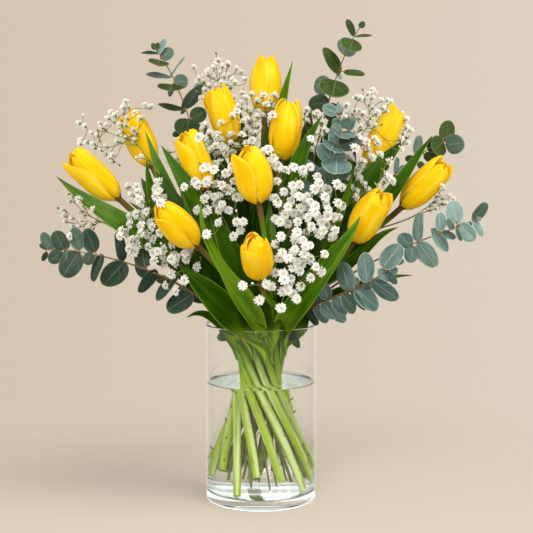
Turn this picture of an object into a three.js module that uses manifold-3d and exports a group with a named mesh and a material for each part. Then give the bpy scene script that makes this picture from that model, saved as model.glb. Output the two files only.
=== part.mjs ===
// A hand-tied bunch of tulips with eucalyptus and baby's breath, standing in a straight glass vase
// with water. Millimetres, +Z up, origin at the centre of the vase's foot, -Y towards the viewer.
//
// The stems are spiralled as a florist ties them: every stem is a straight ruling of a hyperboloid
// from its foot to the narrow waist of the bunch, so that no stem crosses its neighbours, and only
// above the waist does each one bend away to its bloom, its leaves or its spray.
import * as THREE from "three";
import { mergeVertices } from "three/addons/utils/BufferGeometryUtils.js";
import Module from "manifold-3d";

const wasm = await Module();
wasm.setup();

// ---------------------------------------------------------------- driving dimensions

const VASE = { radius: 60, height: 196, wall: 2.8, floor: 11, round: 2.6, sides: 32 };
const WATER = { level: 131, gap: 0.3, hole: 0.6 }; // gap to the glass, and round each stem
const WAIST_Z = 128; // height of the narrowest place of the tied bunch
const FOOT_Z = 14; // height at which the rings' foot radii are stated
const SLIVER = 0.08; // edges shorter than this are closed up after a cut
const CLEARANCE = 0.4; // left between two neighbours where one is cut back from the other

// Each ring of stems: radius at the waist, radius at the feet, stem radius and number of sides.
const RINGS = {
  tulip: { waist: 19.5, foot: 50, stem: 3.6, sides: 5 },
  eucalyptus: { waist: 12.8, foot: 36, stem: 1.8, sides: 3 },
  spray: { waist: 8.8, foot: 24, stem: 0.9, sides: 3 },
};

const BLOOM = {
  petal: 1.3, // thickness of a petal in its middle
  nest: 2.9, // how far the inner petals sit inside the outer ones
  joint: 2.5, // how far the seat of the petals reaches below their roots
  seatSides: 6,
  gap: 0.3, // between the seat and the top of the stem
};
const LEAF = { thickness: 1.5, rows: 5 };
const LEAFLET = { thickness: 1.3, cup: 1.6, points: 6 };
const FLORET = { radius: 5.6, dome: 2.4, back: 2.2, points: 5 };
const TWIG = 0.5; // radius of a twig

// ---------------------------------------------------------------- the arrangement
// Angles are in degrees, seen from above, 0 along +X. `slot` is where a stem leaves the bunch.

// base: where the petals join the stem; tip: the top of the bloom; width: the bloom's; spin: its turn
// about its own axis; leaves: each blade's root height on its stem, two points that its midrib passes,
// its tip, its width and the way its inner face looks.
const TULIPS = [
  {
    name: "tulip_01", slot: -179, rise: 96,
    base: [-152, -25, 334], tip: [-200, -45, 381], width: 33, spin: 90,
    leaves: [
      {
        root: 205, by: [[-108, -44, 280], [-163, -54, 321]], tip: [-211, -60, 358],
        width: 27, face: [0.3, -0.7, 0.6],
      },
      {
        root: 225, by: [[-92, -34, 287], [-112, -36, 332]], tip: [-120, -40, 374],
        width: 19, face: [0.2, -0.95, 0.1],
      },
    ],
  },
  {
    name: "tulip_02", slot: 152, rise: 90,
    base: [-121, 45, 365], tip: [-149, 55, 425], width: 34, spin: 75,
    leaves: [
      {
        root: 230, by: [[-92, 8, 318], [-110, 10, 362]], tip: [-126, 18, 405],
        width: 18, face: [0.3, -0.9, 0.2],
      },
      {
        root: 205, by: [[-72, 45, 250], [-112, 72, 292]], tip: [-152, 92, 322],
        width: 30, face: [0.5, -0.4, 0.8],
      },
      {
        root: 158, by: [[-36, -10, 184], [-56, -14, 205]], tip: [-80, -18, 204],
        width: 20, face: [0.1, -0.5, 0.8],
      },
    ],
  },
  {
    name: "tulip_03", slot: -151, rise: 80,
    base: [-57, -45, 344], tip: [-79, -60, 405], width: 32, spin: 90,
    leaves: [
      {
        root: 205, by: [[-52, -52, 300], [-78, -62, 352]], tip: [-103, -52, 390],
        width: 24, face: [-0.3, -0.9, 0.3],
      },
      {
        root: 180, by: [[-38, -26, 246], [-64, -22, 300]], tip: [-84, -14, 342],
        width: 27, face: [0.2, -0.9, 0.4],
      },
    ],
  },
  {
    name: "tulip_04", slot: 120, rise: 114,
    base: [-32, 15, 391], tip: [-50, 10, 452], width: 33.5, spin: 5,
    leaves: [
      {
        root: 225, by: [[-48, 36, 292], [-66, 52, 342]], tip: [-84, 62, 388],
        width: 24, face: [0.4, 0.7, 0.5],
      },
    ],
  },
  {
    name: "tulip_05", slot: 92, rise: 63,
    base: [4, 60, 422], tip: [5, 75, 487], width: 37, spin: 95,
    leaves: [
      {
        root: 265, by: [[14, 52, 385], [25, 50, 440]], tip: [35, 50, 480],
        width: 16, face: [-0.5, -0.8, 0.2],
      },
      {
        root: 205, by: [[-4, 72, 270], [-10, 104, 325]], tip: [-14, 126, 372],
        width: 30, face: [0, 0.8, 0.5],
      },
    ],
  },
  {
    name: "tulip_06", slot: -26, rise: 85,
    base: [22, -30, 375], tip: [31, -35, 438], width: 35.5, spin: 25,
    leaves: [
      {
        root: 235, by: [[30, -46, 330], [43, -60, 383]], tip: [64, -62, 422],
        width: 21, face: [-0.4, -0.9, 0.1],
      },
    ],
  },
  {
    name: "tulip_07", slot: -93, rise: 124,
    base: [-2, -85, 333], tip: [-13, -100, 390], width: 39.5, spin: 90,
    leaves: [
      {
        root: 180, by: [[-18, -54, 243], [-36, -60, 288]], tip: [-56, -62, 328],
        width: 30, face: [0.3, -0.9, 0.3],
      },
      {
        root: 215, by: [[8, -62, 268], [9, -64, 302]], tip: [9, -62, 334],
        width: 17, face: [0.1, -1, 0.1],
      },
    ],
  },
  {
    name: "tulip_08", slot: -120, rise: 110,
    base: [-66, -85, 290], tip: [-103, -115, 332], width: 34, spin: 95,
    leaves: [
      {
        root: 165, by: [[-14, -74, 224], [-47, -108, 284]], tip: [-58, -118, 338],
        width: 30, face: [0.3, -0.95, 0.2],
      },
      {
        root: 158, by: [[-30, -50, 206], [-58, -66, 240]], tip: [-84, -74, 268],
        width: 36, face: [0.4, -0.8, 0.5],
      },
    ],
  },
  {
    name: "tulip_09", slot: -53, rise: 125,
    base: [-1, -97, 258], tip: [-7, -130, 303], width: 33.5, spin: 95,
    leaves: [
      {
        root: 160, by: [[34, -62, 214], [68, -106, 271]], tip: [100, -114, 321],
        width: 31, face: [-0.5, -0.85, 0.25],
      },
    ],
  },
  {
    name: "tulip_10", slot: 65, rise: 102,
    base: [117, 35, 366], tip: [153, 50, 430], width: 33.5, spin: 100,
    leaves: [
      {
        root: 262, by: [[110, 18, 338], [134, 20, 370]], tip: [162, 20, 398],
        width: 27, face: [-0.5, -0.85, 0.2],
      },
      {
        root: 205, by: [[58, 58, 262], [96, 86, 310]], tip: [128, 102, 352],
        width: 30, face: [-0.3, 0.6, 0.7],
      },
    ],
  },
  {
    name: "tulip_11", slot: 9, rise: 125,
    base: [97, -75, 293], tip: [124, -105, 345], width: 34.5, spin: 40,
    leaves: [
      {
        root: 222, by: [[88, -43, 256], [114, -64, 287]], tip: [142, -70, 306],
        width: 26, face: [-0.4, -0.5, 0.8],
      },
      {
        root: 240, by: [[72, -50, 290], [85, -68, 328]], tip: [94, -74, 366],
        width: 13, face: [-0.5, -0.85, 0.1],
      },
    ],
  },
  {
    name: "tulip_12", slot: 38, rise: 114,
    base: [151, -25, 325], tip: [196, -45, 371], width: 33, spin: 40,
    leaves: [
      {
        root: 275, by: [[122, -34, 315], [150, -44, 358]], tip: [180, -36, 400],
        width: 21, face: [-0.6, -0.75, 0.3],
      },
      {
        root: 203, by: [[76, 16, 221], [120, 2, 240]], tip: [164, -10, 249],
        width: 22, face: [-0.2, -0.4, 0.9],
      },
    ],
  },
];

// mid: a point that the branch passes; leaves: each one as it is seen from the front, by x and z of its
// root and of its tip, the width that it shows, and -1 where it points away instead of towards the
// front. A branch that stands behind has so many pairs of leaves instead, along its outer part.
const EUCALYPTUS = [
  {
    name: "eucalyptus_01", slot: -153, rise: 133, mid: [-120, -65, 262], tip: [-226, -62, 283],
    leaves: [
      [-216, 283, -227, 300, 14], [-203, 283, -211, 303, 18], [-222, 280, -226, 270, 5],
      [-214, 282, -217, 270, 6], [-205, 282, -217, 271, 15], [-200, 283, -203, 272, 7],
      [-200, 284, -198, 293, 6], [-186, 283, -193, 307, 13], [-170, 281, -180, 305, 19],
      [-187, 281, -204, 256, 24], [-172, 280, -180, 270, 13], [-163, 279, -174, 251, 12],
      [-141, 271, -163, 245, 24], [-141, 271, -146, 302, 9], [-119, 263, -134, 256, 20, -1],
      [-120, 264, -124, 282, 20, -1], [-110, 262, -127, 237, 13], [-86, 255, -110, 229, 11],
      [-97, 250, -110, 250, 10, -1], [-72, 233, -99, 217, 20], [-72, 235, -68, 243, 14, -1],
    ],
  },
  {
    name: "eucalyptus_02", slot: 178, rise: 166, mid: [-64, 36, 366], tip: [-118, 60, 496],
    leaves: [
      [-115, 488, -106, 506, 9], [-114, 488, -133, 490, 4], [-111, 483, -98, 494, 14],
      [-112, 482, -114, 473, 24], [-101, 463, -83, 486, 4], [-101, 462, -128, 466, 6.5],
      [-97, 458, -80, 458, 17, -1], [-99, 454, -100, 443, 30], [-86, 427, -65, 455, 13],
      [-86, 427, -115, 430, 7], [-79, 417, -82, 401, 30], [-78, 417, -62, 425, 18, -1],
      [-90, 402, -98, 398, 7],
    ],
  },
  {
    name: "eucalyptus_03", slot: 17, rise: 184, mid: [61, 28, 386], tip: [109, 40, 517],
    leaves: [
      [108, 516, 113, 522, 7], [102, 507, 94, 525, 9], [103, 506, 122, 509, 4], [101, 504, 95, 489, 25],
      [99, 500, 88, 488, 24, -1], [87, 466, 70, 495, 15], [91, 468, 114, 468, 8],
      [76, 452, 57, 455, 22, -1], [82, 460, 76, 438, 34], [75, 435, 52, 432, 20, -1],
      [70, 428, 88, 420, 20, -1],
    ],
  },
  {
    name: "eucalyptus_04", slot: -118, rise: 199, mid: [47, -58, 329], tip: [80, -60, 423],
    leaves: [
      [79, 423, 64, 430, 12.5], [82, 423, 81, 433, 6.5], [81, 411, 74, 417, 9], [83, 404, 73, 410, 11],
      [82, 409, 93, 417, 10], [90, 405, 96, 419, 8], [84, 401, 82, 396, 17], [84, 402, 98, 401, 6.5],
      [78, 390, 72, 403, 11], [79, 389, 103, 396, 16], [75, 392, 71, 385, 25], [73, 375, 60, 391, 17],
      [75, 376, 88, 381, 11], [78, 375, 77, 367, 32], [67, 359, 93, 364, 17], [67, 360, 62, 367, 9],
      [66, 359, 49, 376, 5], [60, 345, 73, 336, 14], [56, 343, 38, 352, 12],
    ],
  },
  {
    name: "eucalyptus_05", slot: 57, rise: 161, mid: [125, 40, 335], tip: [207, 70, 396],
    leaves: [
      [208, 391, 211, 415, 17], [206, 387, 226, 391, 23], [205, 391, 192, 384, 24],
      [204, 390, 190, 383, 22, -1], [174, 376, 176, 399, 9.5], [181, 377, 197, 371, 12],
      [171, 372, 160, 373, 8.5], [149, 356, 151, 375, 7.5], [151, 359, 164, 366, 6],
      [175, 369, 180, 362, 8],
    ],
  },
  {
    name: "eucalyptus_06", slot: -7, rise: 115, mid: [68, -68, 230], tip: [140, -84, 271],
    leaves: [
      [124, 267, 143, 290, 20], [108, 252, 105, 281, 18], [91, 238, 83, 265, 15],
      [93, 244, 106, 222, 8], [96, 245, 121, 224, 19], [108, 252, 115, 243, 14, -1],
      [113, 255, 139, 236, 15], [119, 265, 130, 252, 9], [129, 264, 139, 250, 8],
      [131, 267, 140, 261, 9], [74, 233, 90, 216, 13], [72, 222, 88, 207, 14],
    ],
  },
  {
    name: "eucalyptus_07", slot: -29, rise: 139, mid: [125, -38, 270], tip: [226, -60, 315],
    leaves: [
      [158, 285, 145, 296, 17], [159, 285, 157, 267, 16], [165, 289, 166, 321, 9.5],
      [165, 289, 184, 263, 19], [178, 303, 196, 279, 14], [187, 301, 186, 321, 13],
      [204, 309, 199, 333, 18], [201, 303, 193, 313, 8], [189, 300, 204, 294, 8],
      [206, 309, 222, 291, 17], [204, 307, 211, 291, 8], [221, 313, 234, 331, 14],
      [219, 314, 232, 296, 9], [146, 278, 136, 268, 12, -1],
    ],
  },
  { name: "eucalyptus_08", slot: 103, rise: 109, mid: [28, 86, 290], tip: [60, 158, 352], pairs: 6 },
  { name: "eucalyptus_09", slot: 155, rise: 109, mid: [-86, 48, 250], tip: [-140, 120, 300], pairs: 6 },
];

// head: middle of the cloud of florets; reach: its half size; arms: branches; each arm ends in florets.
const SPRAYS = [
  { name: "gypsophila_01", slot: 141, rise: 113, head: [-154, 6, 416], reach: 38, arms: 5 },
  { name: "gypsophila_02", slot: -44, rise: 57, head: [-192, -24, 320], reach: 28, arms: 4 },
  { name: "gypsophila_03", slot: -98, rise: 39, head: [-124, -60, 324], reach: 28, arms: 4 },
  { name: "gypsophila_04", slot: -161, rise: 30, head: [-98, -78, 274], reach: 34, arms: 5 },
  { name: "gypsophila_05", slot: 79, rise: 197, head: [-50, 56, 464], reach: 30, arms: 4 },
  { name: "gypsophila_06", slot: 159, rise: 127, head: [-8, 20, 430], reach: 32, arms: 5 },
  { name: "gypsophila_07", slot: -80, rise: 74, head: [-46, -70, 334], reach: 30, arms: 4 },
  { name: "gypsophila_08", slot: -139, rise: 72, head: [24, -84, 348], reach: 30, arms: 4 },
  { name: "gypsophila_09", slot: -117, rise: 94, head: [56, -94, 316], reach: 30, arms: 4 },
  { name: "gypsophila_10", slot: 17, rise: 179, head: [28, -106, 252], reach: 38, arms: 5 },
  { name: "gypsophila_11", slot: 60, rise: 171, head: [118, 14, 416], reach: 36, arms: 5 },
  { name: "gypsophila_12", slot: -63, rise: 144, head: [120, -28, 354], reach: 28, arms: 4 },
  { name: "gypsophila_13", slot: 98, rise: 162, head: [187, -10, 326], reach: 24, arms: 4 },
  { name: "gypsophila_14", slot: -2, rise: 124, head: [8, 108, 392], reach: 34, arms: 4 },
  { name: "gypsophila_15", slot: 177, rise: 190, head: [82, 98, 372], reach: 34, arms: 4 },
  { name: "gypsophila_16", slot: 118, rise: 193, head: [-86, 96, 368], reach: 34, arms: 4 },
  { name: "gypsophila_17", slot: 36, rise: 65, head: [54, 4, 402], reach: 28, arms: 3 },
  { name: "gypsophila_18", slot: -22, rise: 25, head: [-42, -16, 384], reach: 32, arms: 4 },
];

// ---------------------------------------------------------------- small helpers

const vec = (xyz) => new THREE.Vector3(...xyz);
const radians = THREE.MathUtils.degToRad;
const lerp = THREE.MathUtils.lerp;
const UP = new THREE.Vector3(0, 0, 1);
const FRONT = new THREE.Vector3(0, -1, 0);

// Numbers from 0 to 1, the same on every run.
function drawsFrom(seed) {
  let state = seed >>> 0;
  return () => {
    state = (Math.imul(state, 1664525) + 1013904223) >>> 0;
    return state / 4294967296;
  };
}

// A closed geometry as a manifold-3d solid. Triangles that came together at a tip are dropped.
function solidOf(geometry) {
  const loose = geometry.index ? geometry.toNonIndexed() : geometry;
  const bare = new THREE.BufferGeometry().setAttribute("position", loose.getAttribute("position"));
  const merged = mergeVertices(bare, 1e-3);
  const corners = merged.index.array;
  const kept = [];
  for (let i = 0; i < corners.length; i += 3) {
    const [a, b, c] = corners.slice(i, i + 3);
    if (a !== b && b !== c && c !== a) kept.push(a, b, c);
  }
  return new wasm.Manifold(
    new wasm.Mesh({
      numProp: 3,
      vertProperties: merged.attributes.position.array,
      triVerts: new Uint32Array(kept),
    }),
  );
}

// The solid whose triangles are stated by their corners, nine numbers each.
function solidOfCorners(position) {
  return solidOf(
    new THREE.BufferGeometry().setAttribute("position", new THREE.Float32BufferAttribute(position, 3)),
  );
}

// A manifold-3d solid as a geometry with flat faces.
function geometryOf(solid) {
  const mesh = solid.getMesh();
  const position = new Float32Array(mesh.numVert * 3);
  for (let i = 0; i < mesh.numVert; i++) {
    position.set(mesh.vertProperties.subarray(i * mesh.numProp, i * mesh.numProp + 3), i * 3);
  }
  const geometry = new THREE.BufferGeometry()
    .setAttribute("position", new THREE.BufferAttribute(position, 3))
    .setIndex(new THREE.BufferAttribute(new Uint32Array(mesh.triVerts), 1))
    .toNonIndexed();
  geometry.computeVertexNormals();
  return geometry;
}

const joined = (solids) => solids.reduce((all, next) => all.add(next));
// The largest body of a cut solid, without the slivers that the cut leaves along its edge.
function largestBody(solid) {
  return solid.simplify(SLIVER).decompose().sort((a, b) => b.volume() - a.volume())[0];
}

function polygon(radius, sides) {
  const corners = [];
  for (let k = 0; k < sides; k++) {
    const a = (2 * Math.PI * k) / sides;
    corners.push(new THREE.Vector2(radius * Math.cos(a), radius * Math.sin(a)));
  }
  return new THREE.Shape(corners);
}

// A tube of even thickness along a curve, and a straight rod between two points.
function tube(curve, radius, sides, steps) {
  return solidOf(
    new THREE.ExtrudeGeometry(polygon(radius, sides), { steps, bevelEnabled: false, extrudePath: curve }),
  );
}
const rod = (from, to, radius, sides) => tube(new THREE.LineCurve3(from, to), radius, sides, 1);

// A body of revolution round +Z, from pairs of a radius and a height.
function lathe(profile, sides) {
  const points = profile.map(([r, z]) => new THREE.Vector2(r, z));
  return solidOf(new THREE.LatheGeometry(points, sides).rotateX(Math.PI / 2));
}

// The blade whose middle surface is at(u, v), for u from -1 to 1 across and v from 0 to 1 along. It has
// its full thickness inside and tapers to its edges. Both faces are split along the same diagonals.
function blade(at, columns, rows, thickness) {
  const STEP = 1e-3;
  const normalAt = (u, v) => {
    const across = at(u + STEP, v).sub(at(u - STEP, v));
    return across.cross(at(u, v + STEP).sub(at(u, v - STEP))).normalize();
  };
  const face = (side) =>
    Array.from({ length: rows + 1 }, (_, j) =>
      Array.from({ length: columns + 1 }, (_, i) => {
        const u = (2 * i) / columns - 1;
        const v = j / rows;
        const point = at(u, v);
        const onEdge = i === 0 || i === columns || j === 0 || j === rows;
        return onEdge ? point : point.addScaledVector(normalAt(u, v), (side * thickness) / 2);
      }),
    );
  const front = face(1);
  const back = face(-1);
  const position = [];
  const triangle = (...points) => points.forEach((p) => position.push(p.x, p.y, p.z));
  for (let j = 0; j < rows; j++) {
    for (let i = 0; i < columns; i++) {
      triangle(front[j][i], front[j][i + 1], front[j + 1][i + 1]);
      triangle(front[j][i], front[j + 1][i + 1], front[j + 1][i]);
      triangle(back[j][i], back[j + 1][i + 1], back[j][i + 1]);
      triangle(back[j][i], back[j + 1][i], back[j + 1][i + 1]);
    }
  }
  return solidOfCorners(position);
}

// The cubic that leaves `from`, passes `first` and `second` at a third and two thirds, and ends at `to`.
function cubicBy(from, first, second, to) {
  const blend = (a, b, c, d) =>
    new THREE.Vector3()
      .addScaledVector(from, a)
      .addScaledVector(first, b)
      .addScaledVector(second, c)
      .addScaledVector(to, d);
  return new THREE.CubicBezierCurve3(from, blend(-5 / 6, 3, -1.5, 1 / 3), blend(1 / 3, -1.5, 3, -5 / 6), to);
}

// ---------------------------------------------------------------- stems

// The straight part of a stem: it passes the waist at `slot` turned back by a quarter or so, and its
// foot stands on the other side of the spiral, footRise above the vase's floor.
function ruling(ring, slot, footRise) {
  const LEAD = 82; // degrees from where a stem crosses the waist to where it leaves the bunch
  const angle = radians(slot + LEAD);
  const waist = new THREE.Vector3(ring.waist * Math.cos(angle), ring.waist * Math.sin(angle), WAIST_Z);
  const run = Math.sqrt(ring.foot ** 2 - ring.waist ** 2);
  const up = new THREE.Vector3(run * Math.sin(angle), -run * Math.cos(angle), WAIST_Z - FOOT_Z).normalize();
  const foot = waist.clone().addScaledVector(up, -(WAIST_Z - FOOT_Z - footRise) / up.z);
  return { foot, waist, up };
}

// A stem's centre line. Its straight part takes the first of `steps` equal shares of the parameter
// and its bend takes the rest, so that an extrusion keeps the straight part in one piece.
class StemCurve extends THREE.Curve {
  constructor(foot, bend, steps) {
    super();
    this.foot = foot;
    this.bend = bend;
    this.steps = steps;
  }

  getPoint(t) {
    const walked = t * this.steps;
    if (walked < 1) return this.foot.clone().lerp(this.bend.v0, walked);
    return this.bend.getPoint((walked - 1) / (this.steps - 1));
  }

  getUtoTmapping(u) {
    return u;
  }
}

// A whole stem: the ruling, then a cubic from the waist that arrives at `end` along `heading`.
function stemRoute(line, rise, end, heading, neck, steps) {
  const bend = new THREE.CubicBezierCurve3(
    line.waist,
    line.waist.clone().addScaledVector(line.up, rise),
    end.clone().addScaledVector(heading, -neck),
    end,
  );
  return { line, bend, steps, whole: new StemCurve(line.foot, bend, steps) };
}

// The solid of a stem, and the hole that its lower part leaves in the water.
function stemSolid(route, ring, grow) {
  return tube(route.whole, ring.stem + grow, ring.sides, route.steps);
}
function stemHole(route, ring) {
  const PAST = 12;
  const from = route.line.foot.clone().addScaledVector(route.line.up, -WATER.hole);
  const to = route.line.waist.clone().addScaledVector(route.line.up, PAST);
  return rod(from, to, (ring.stem + WATER.hole) / Math.cos(Math.PI / ring.sides), ring.sides);
}

// The point of a rising curve at a stated height.
function atHeight(curve, z) {
  let low = 0;
  let high = 1;
  for (let i = 0; i < 30; i++) {
    const middle = (low + high) / 2;
    if (curve.getPoint(middle).z < z) low = middle;
    else high = middle;
  }
  return curve.getPoint(low);
}

// ---------------------------------------------------------------- tulips

const tulipAxis = (spec) => vec(spec.tip).sub(vec(spec.base)).normalize();
const tulipLength = (spec) => vec(spec.tip).distanceTo(vec(spec.base));

function tulipStem(spec, index) {
  const NECK = 62;
  const STEPS = 7;
  const FOOT_RISES = [3, 16, 7, 21, 1, 12, 5, 18, 2, 24, 9, 14];
  const axis = tulipAxis(spec);
  const end = vec(spec.base).addScaledVector(axis, -BLOOM.joint - BLOOM.gap);
  return stemRoute(ruling(RINGS.tulip, spec.slot, FOOT_RISES[index]), spec.rise, end, axis, NECK, STEPS);
}

// The blade of a tulip leaf: a channel that clasps the stem, is widest near its middle and flattens
// towards a pointed tip.
function tulipLeaf(stem, leaf, grow) {
  const root = atHeight(stem.bend, leaf.root);
  const midrib = cubicBy(root, vec(leaf.by[0]), vec(leaf.by[1]), vec(leaf.tip));
  const face = vec(leaf.face).normalize();
  const at = (u, v) => {
    const along = midrib.getTangent(v);
    const side = along.clone().cross(face).normalize();
    const inward = side.clone().cross(along).normalize();
    const swell = Math.sin(Math.PI * Math.min(1, v ** 0.8 * 0.86 + 0.14));
    const half = (leaf.width / 2) * (v === 1 ? 0 : Math.max(0.16, swell ** 0.9)) + grow;
    const channel = lerp(0.55, 0.16, v);
    return midrib
      .getPoint(v)
      .addScaledVector(side, u * half)
      .addScaledVector(inward, channel * half * u * u);
  };
  return blade(at, 2, LEAF.rows, LEAF.thickness + 2 * grow);
}

function leafyStem(spec, index, grow) {
  const stem = tulipStem(spec, index);
  const solids = [stemSolid(stem, RINGS.tulip, grow)];
  for (const leaf of spec.leaves) solids.push(tulipLeaf(stem, leaf, grow));
  return joined(solids);
}

// One petal of a closed cup: narrow at its root, rounded below, drawn in above and pointed at the tip.
function petal(turn, radius, height, halfAngle, columns, rows, thickness) {
  const at = (u, v) => {
    const swell = Math.sin(Math.PI * (0.09 + 0.8 * v ** 0.85)) ** 0.75;
    const spread = halfAngle * Math.min(1, 0.42 + 2.6 * v) * Math.max(0, 1 - v ** 3.2) ** 0.75;
    const angle = turn + u * spread;
    const r = radius * swell;
    return new THREE.Vector3(r * Math.cos(angle), r * Math.sin(angle), height * v);
  };
  return blade(at, columns, rows, thickness);
}

function tulipBloom(spec) {
  const ROWS = 4;
  const radius = (spec.width - BLOOM.petal) / 2;
  const height = tulipLength(spec);
  const seat = [[0, -BLOOM.joint], [4.6, -BLOOM.joint], [radius * 0.46, 1.2], [radius * 0.42, 4.5], [0, 5]];
  const solids = [lathe(seat, BLOOM.seatSides).rotate([0, 0, 180 / BLOOM.seatSides])];
  for (let k = 0; k < 3; k++) {
    const turn = radians(120 * k);
    const [inside, lower] = [radius - BLOOM.nest, height * 0.97];
    solids.push(petal(turn, radius, height, radians(56), 3, ROWS, BLOOM.petal));
    solids.push(petal(turn + Math.PI / 3, inside, lower, radians(50), 2, ROWS - 1, BLOOM.petal));
  }
  const place = new THREE.Matrix4()
    .makeRotationFromQuaternion(new THREE.Quaternion().setFromUnitVectors(UP, tulipAxis(spec)))
    .multiply(new THREE.Matrix4().makeRotationZ(radians(spec.spin)))
    .setPosition(vec(spec.base));
  return joined(solids).transform(place.elements);
}

// ---------------------------------------------------------------- eucalyptus

// A rounded leaf, a shallow cup of six facets on each face, from its root in the stem.
function leaflet({ root, out, normal, length, width }, grow) {
  const side = out.clone().cross(normal).normalize();
  const place = (x, y, z) =>
    root.clone().addScaledVector(out, x).addScaledVector(side, y).addScaledVector(normal, z);
  const rim = [];
  for (let k = 0; k < LEAFLET.points; k++) {
    const a = (2 * Math.PI * k) / LEAFLET.points;
    const x = (length / 2) * (1 - Math.cos(a)) - grow * Math.cos(a);
    rim.push(place(x, (width / 2 + grow) * Math.sin(a) * (1 + 0.12 * Math.cos(a + Math.PI)), 0));
  }
  const half = LEAFLET.thickness / 2 + grow;
  const top = place(length * 0.5, 0, half - LEAFLET.cup);
  const bottom = place(length * 0.5, 0, -half - LEAFLET.cup);
  const position = [];
  rim.forEach((p, k) => {
    const q = rim[(k + 1) % rim.length];
    for (const point of [top, p, q, bottom, q, p]) position.push(point.x, point.y, point.z);
  });
  return solidOfCorners(position);
}

function eucalyptusRoute(spec, index) {
  const STEPS = 7;
  const AT = 0.55; // where the branch passes its stated middle
  const line = ruling(RINGS.eucalyptus, spec.slot, 4 + ((index * 7) % 20));
  const tip = vec(spec.tip);
  const start = line.waist.clone().addScaledVector(line.up, spec.rise);
  const rest = 1 - AT;
  const pull = vec(spec.mid)
    .addScaledVector(line.waist, -(rest ** 3))
    .addScaledVector(start, -3 * rest ** 2 * AT)
    .addScaledVector(tip, -(AT ** 3))
    .multiplyScalar(1 / (3 * rest * AT ** 2));
  const heading = tip.clone().sub(pull);
  return stemRoute(line, spec.rise, tip, heading.clone().normalize(), heading.length(), STEPS);
}

// A leaf that shows the stated outline from the front: it is tipped forward or back as far as its
// length asks, and rolled about its midrib to one hand as far as its width asks.
function leafAsSeen([x, z, tipX, tipZ, shownWidth, way = 1], bend, hand) {
  const LONGEST = 1.14; // least length to the width that shows
  const ROUNDEST = 0.8; // least width to the length
  const STATIONS = 80;
  const from = (point) => Math.hypot(point.x - x, point.z - z);
  const line = bend.getPoints(STATIONS).slice(STATIONS / 4);
  const root = line.reduce((best, point) => (from(point) < from(best) ? point : best));
  const flat = new THREE.Vector3(tipX - root.x, 0, tipZ - root.z);
  const shown = flat.length();
  flat.normalize();
  const length = Math.max(shown, shownWidth * LONGEST);
  const tilt = Math.acos(shown / length) * way;
  const out = flat.clone().multiplyScalar(Math.cos(tilt)).addScaledVector(FRONT, Math.sin(tilt));
  const width = Math.max(shownWidth, length * ROUNDEST);
  const roll = Math.acos(shownWidth / width) * hand;
  const level = flat.clone().cross(FRONT);
  const side = level.clone().multiplyScalar(Math.cos(roll));
  side.addScaledVector(out.clone().cross(level), Math.sin(roll));
  return { root, out, normal: side.cross(out), length, width };
}

// Leaves in opposite pairs, each pair turned a quarter from the last and smaller towards the tip.
function pairedLeaves(pairs, bend, draw) {
  const LARGEST = 32;
  return Array.from({ length: pairs * 2 }, (_, k) => {
    const pair = Math.floor(k / 2);
    const share = pair / (pairs - 1);
    const t = lerp(0.36, 0.99, share);
    const along = bend.getTangent(t);
    const level = UP.clone().cross(along).normalize();
    const other = along.clone().cross(level).normalize();
    const turn = radians(90 * pair + 180 * (k % 2) + 24 * (draw() - 0.5));
    const lift = radians(26 + 26 * (draw() - 0.5));
    const outward = level.multiplyScalar(Math.cos(turn)).addScaledVector(other, Math.sin(turn));
    const out = outward.clone().multiplyScalar(Math.cos(lift)).addScaledVector(along, Math.sin(lift));
    const normal = along.clone().multiplyScalar(Math.cos(lift)).addScaledVector(outward, -Math.sin(lift));
    const length = LARGEST * lerp(1, 0.42, share ** 1.6) * lerp(0.9, 1.1, draw());
    return { root: bend.getPoint(t), out, normal, length, width: length * 0.86 };
  });
}

// The branch's centre line and its leaves, without those that what is in place leaves no room for.
function eucalyptusPlan(spec, index) {
  const TOO_CROWDED = 0.3;
  const route = eucalyptusRoute(spec, index);
  const leaves = spec.leaves
    ? spec.leaves.map((leaf, k) => leafAsSeen(leaf, route.bend, k % 2 ? 1 : -1))
    : pairedLeaves(spec.pairs, route.bend, drawsFrom(101 + index * 17));
  const fits = (leaf) => {
    const shape = leaflet(leaf, 0);
    return crowding(shape, placed) < TOO_CROWDED && crowding(shape, reserved) === 0;
  };
  return { route, leaves: leaves.filter(fits) };
}

function eucalyptusBranch(plan, grow) {
  return joined([
    stemSolid(plan.route, RINGS.eucalyptus, grow),
    ...plan.leaves.map((leaf) => leaflet(leaf, grow)),
  ]);
}

// ---------------------------------------------------------------- baby's breath

// A ring of points round an axis, and the triangles between two rings of any number of points.
function ring(centre, axis, points, radius) {
  const turn = new THREE.Quaternion().setFromUnitVectors(UP, axis);
  return Array.from({ length: points }, (_, k) => {
    const a = (2 * Math.PI * k) / points;
    return new THREE.Vector3(radius * Math.cos(a), radius * Math.sin(a), 0).applyQuaternion(turn).add(centre);
  });
}
function stitch(low, high, triangle) {
  let i = 0;
  let j = 0;
  while (i < low.length || j < high.length) {
    const [a, b] = [low[i % low.length], high[j % high.length]];
    if ((i + 1) / low.length <= (j + 1) / high.length) triangle(a, low[++i % low.length], b);
    else triangle(a, high[++j % high.length], b);
  }
}

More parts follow.
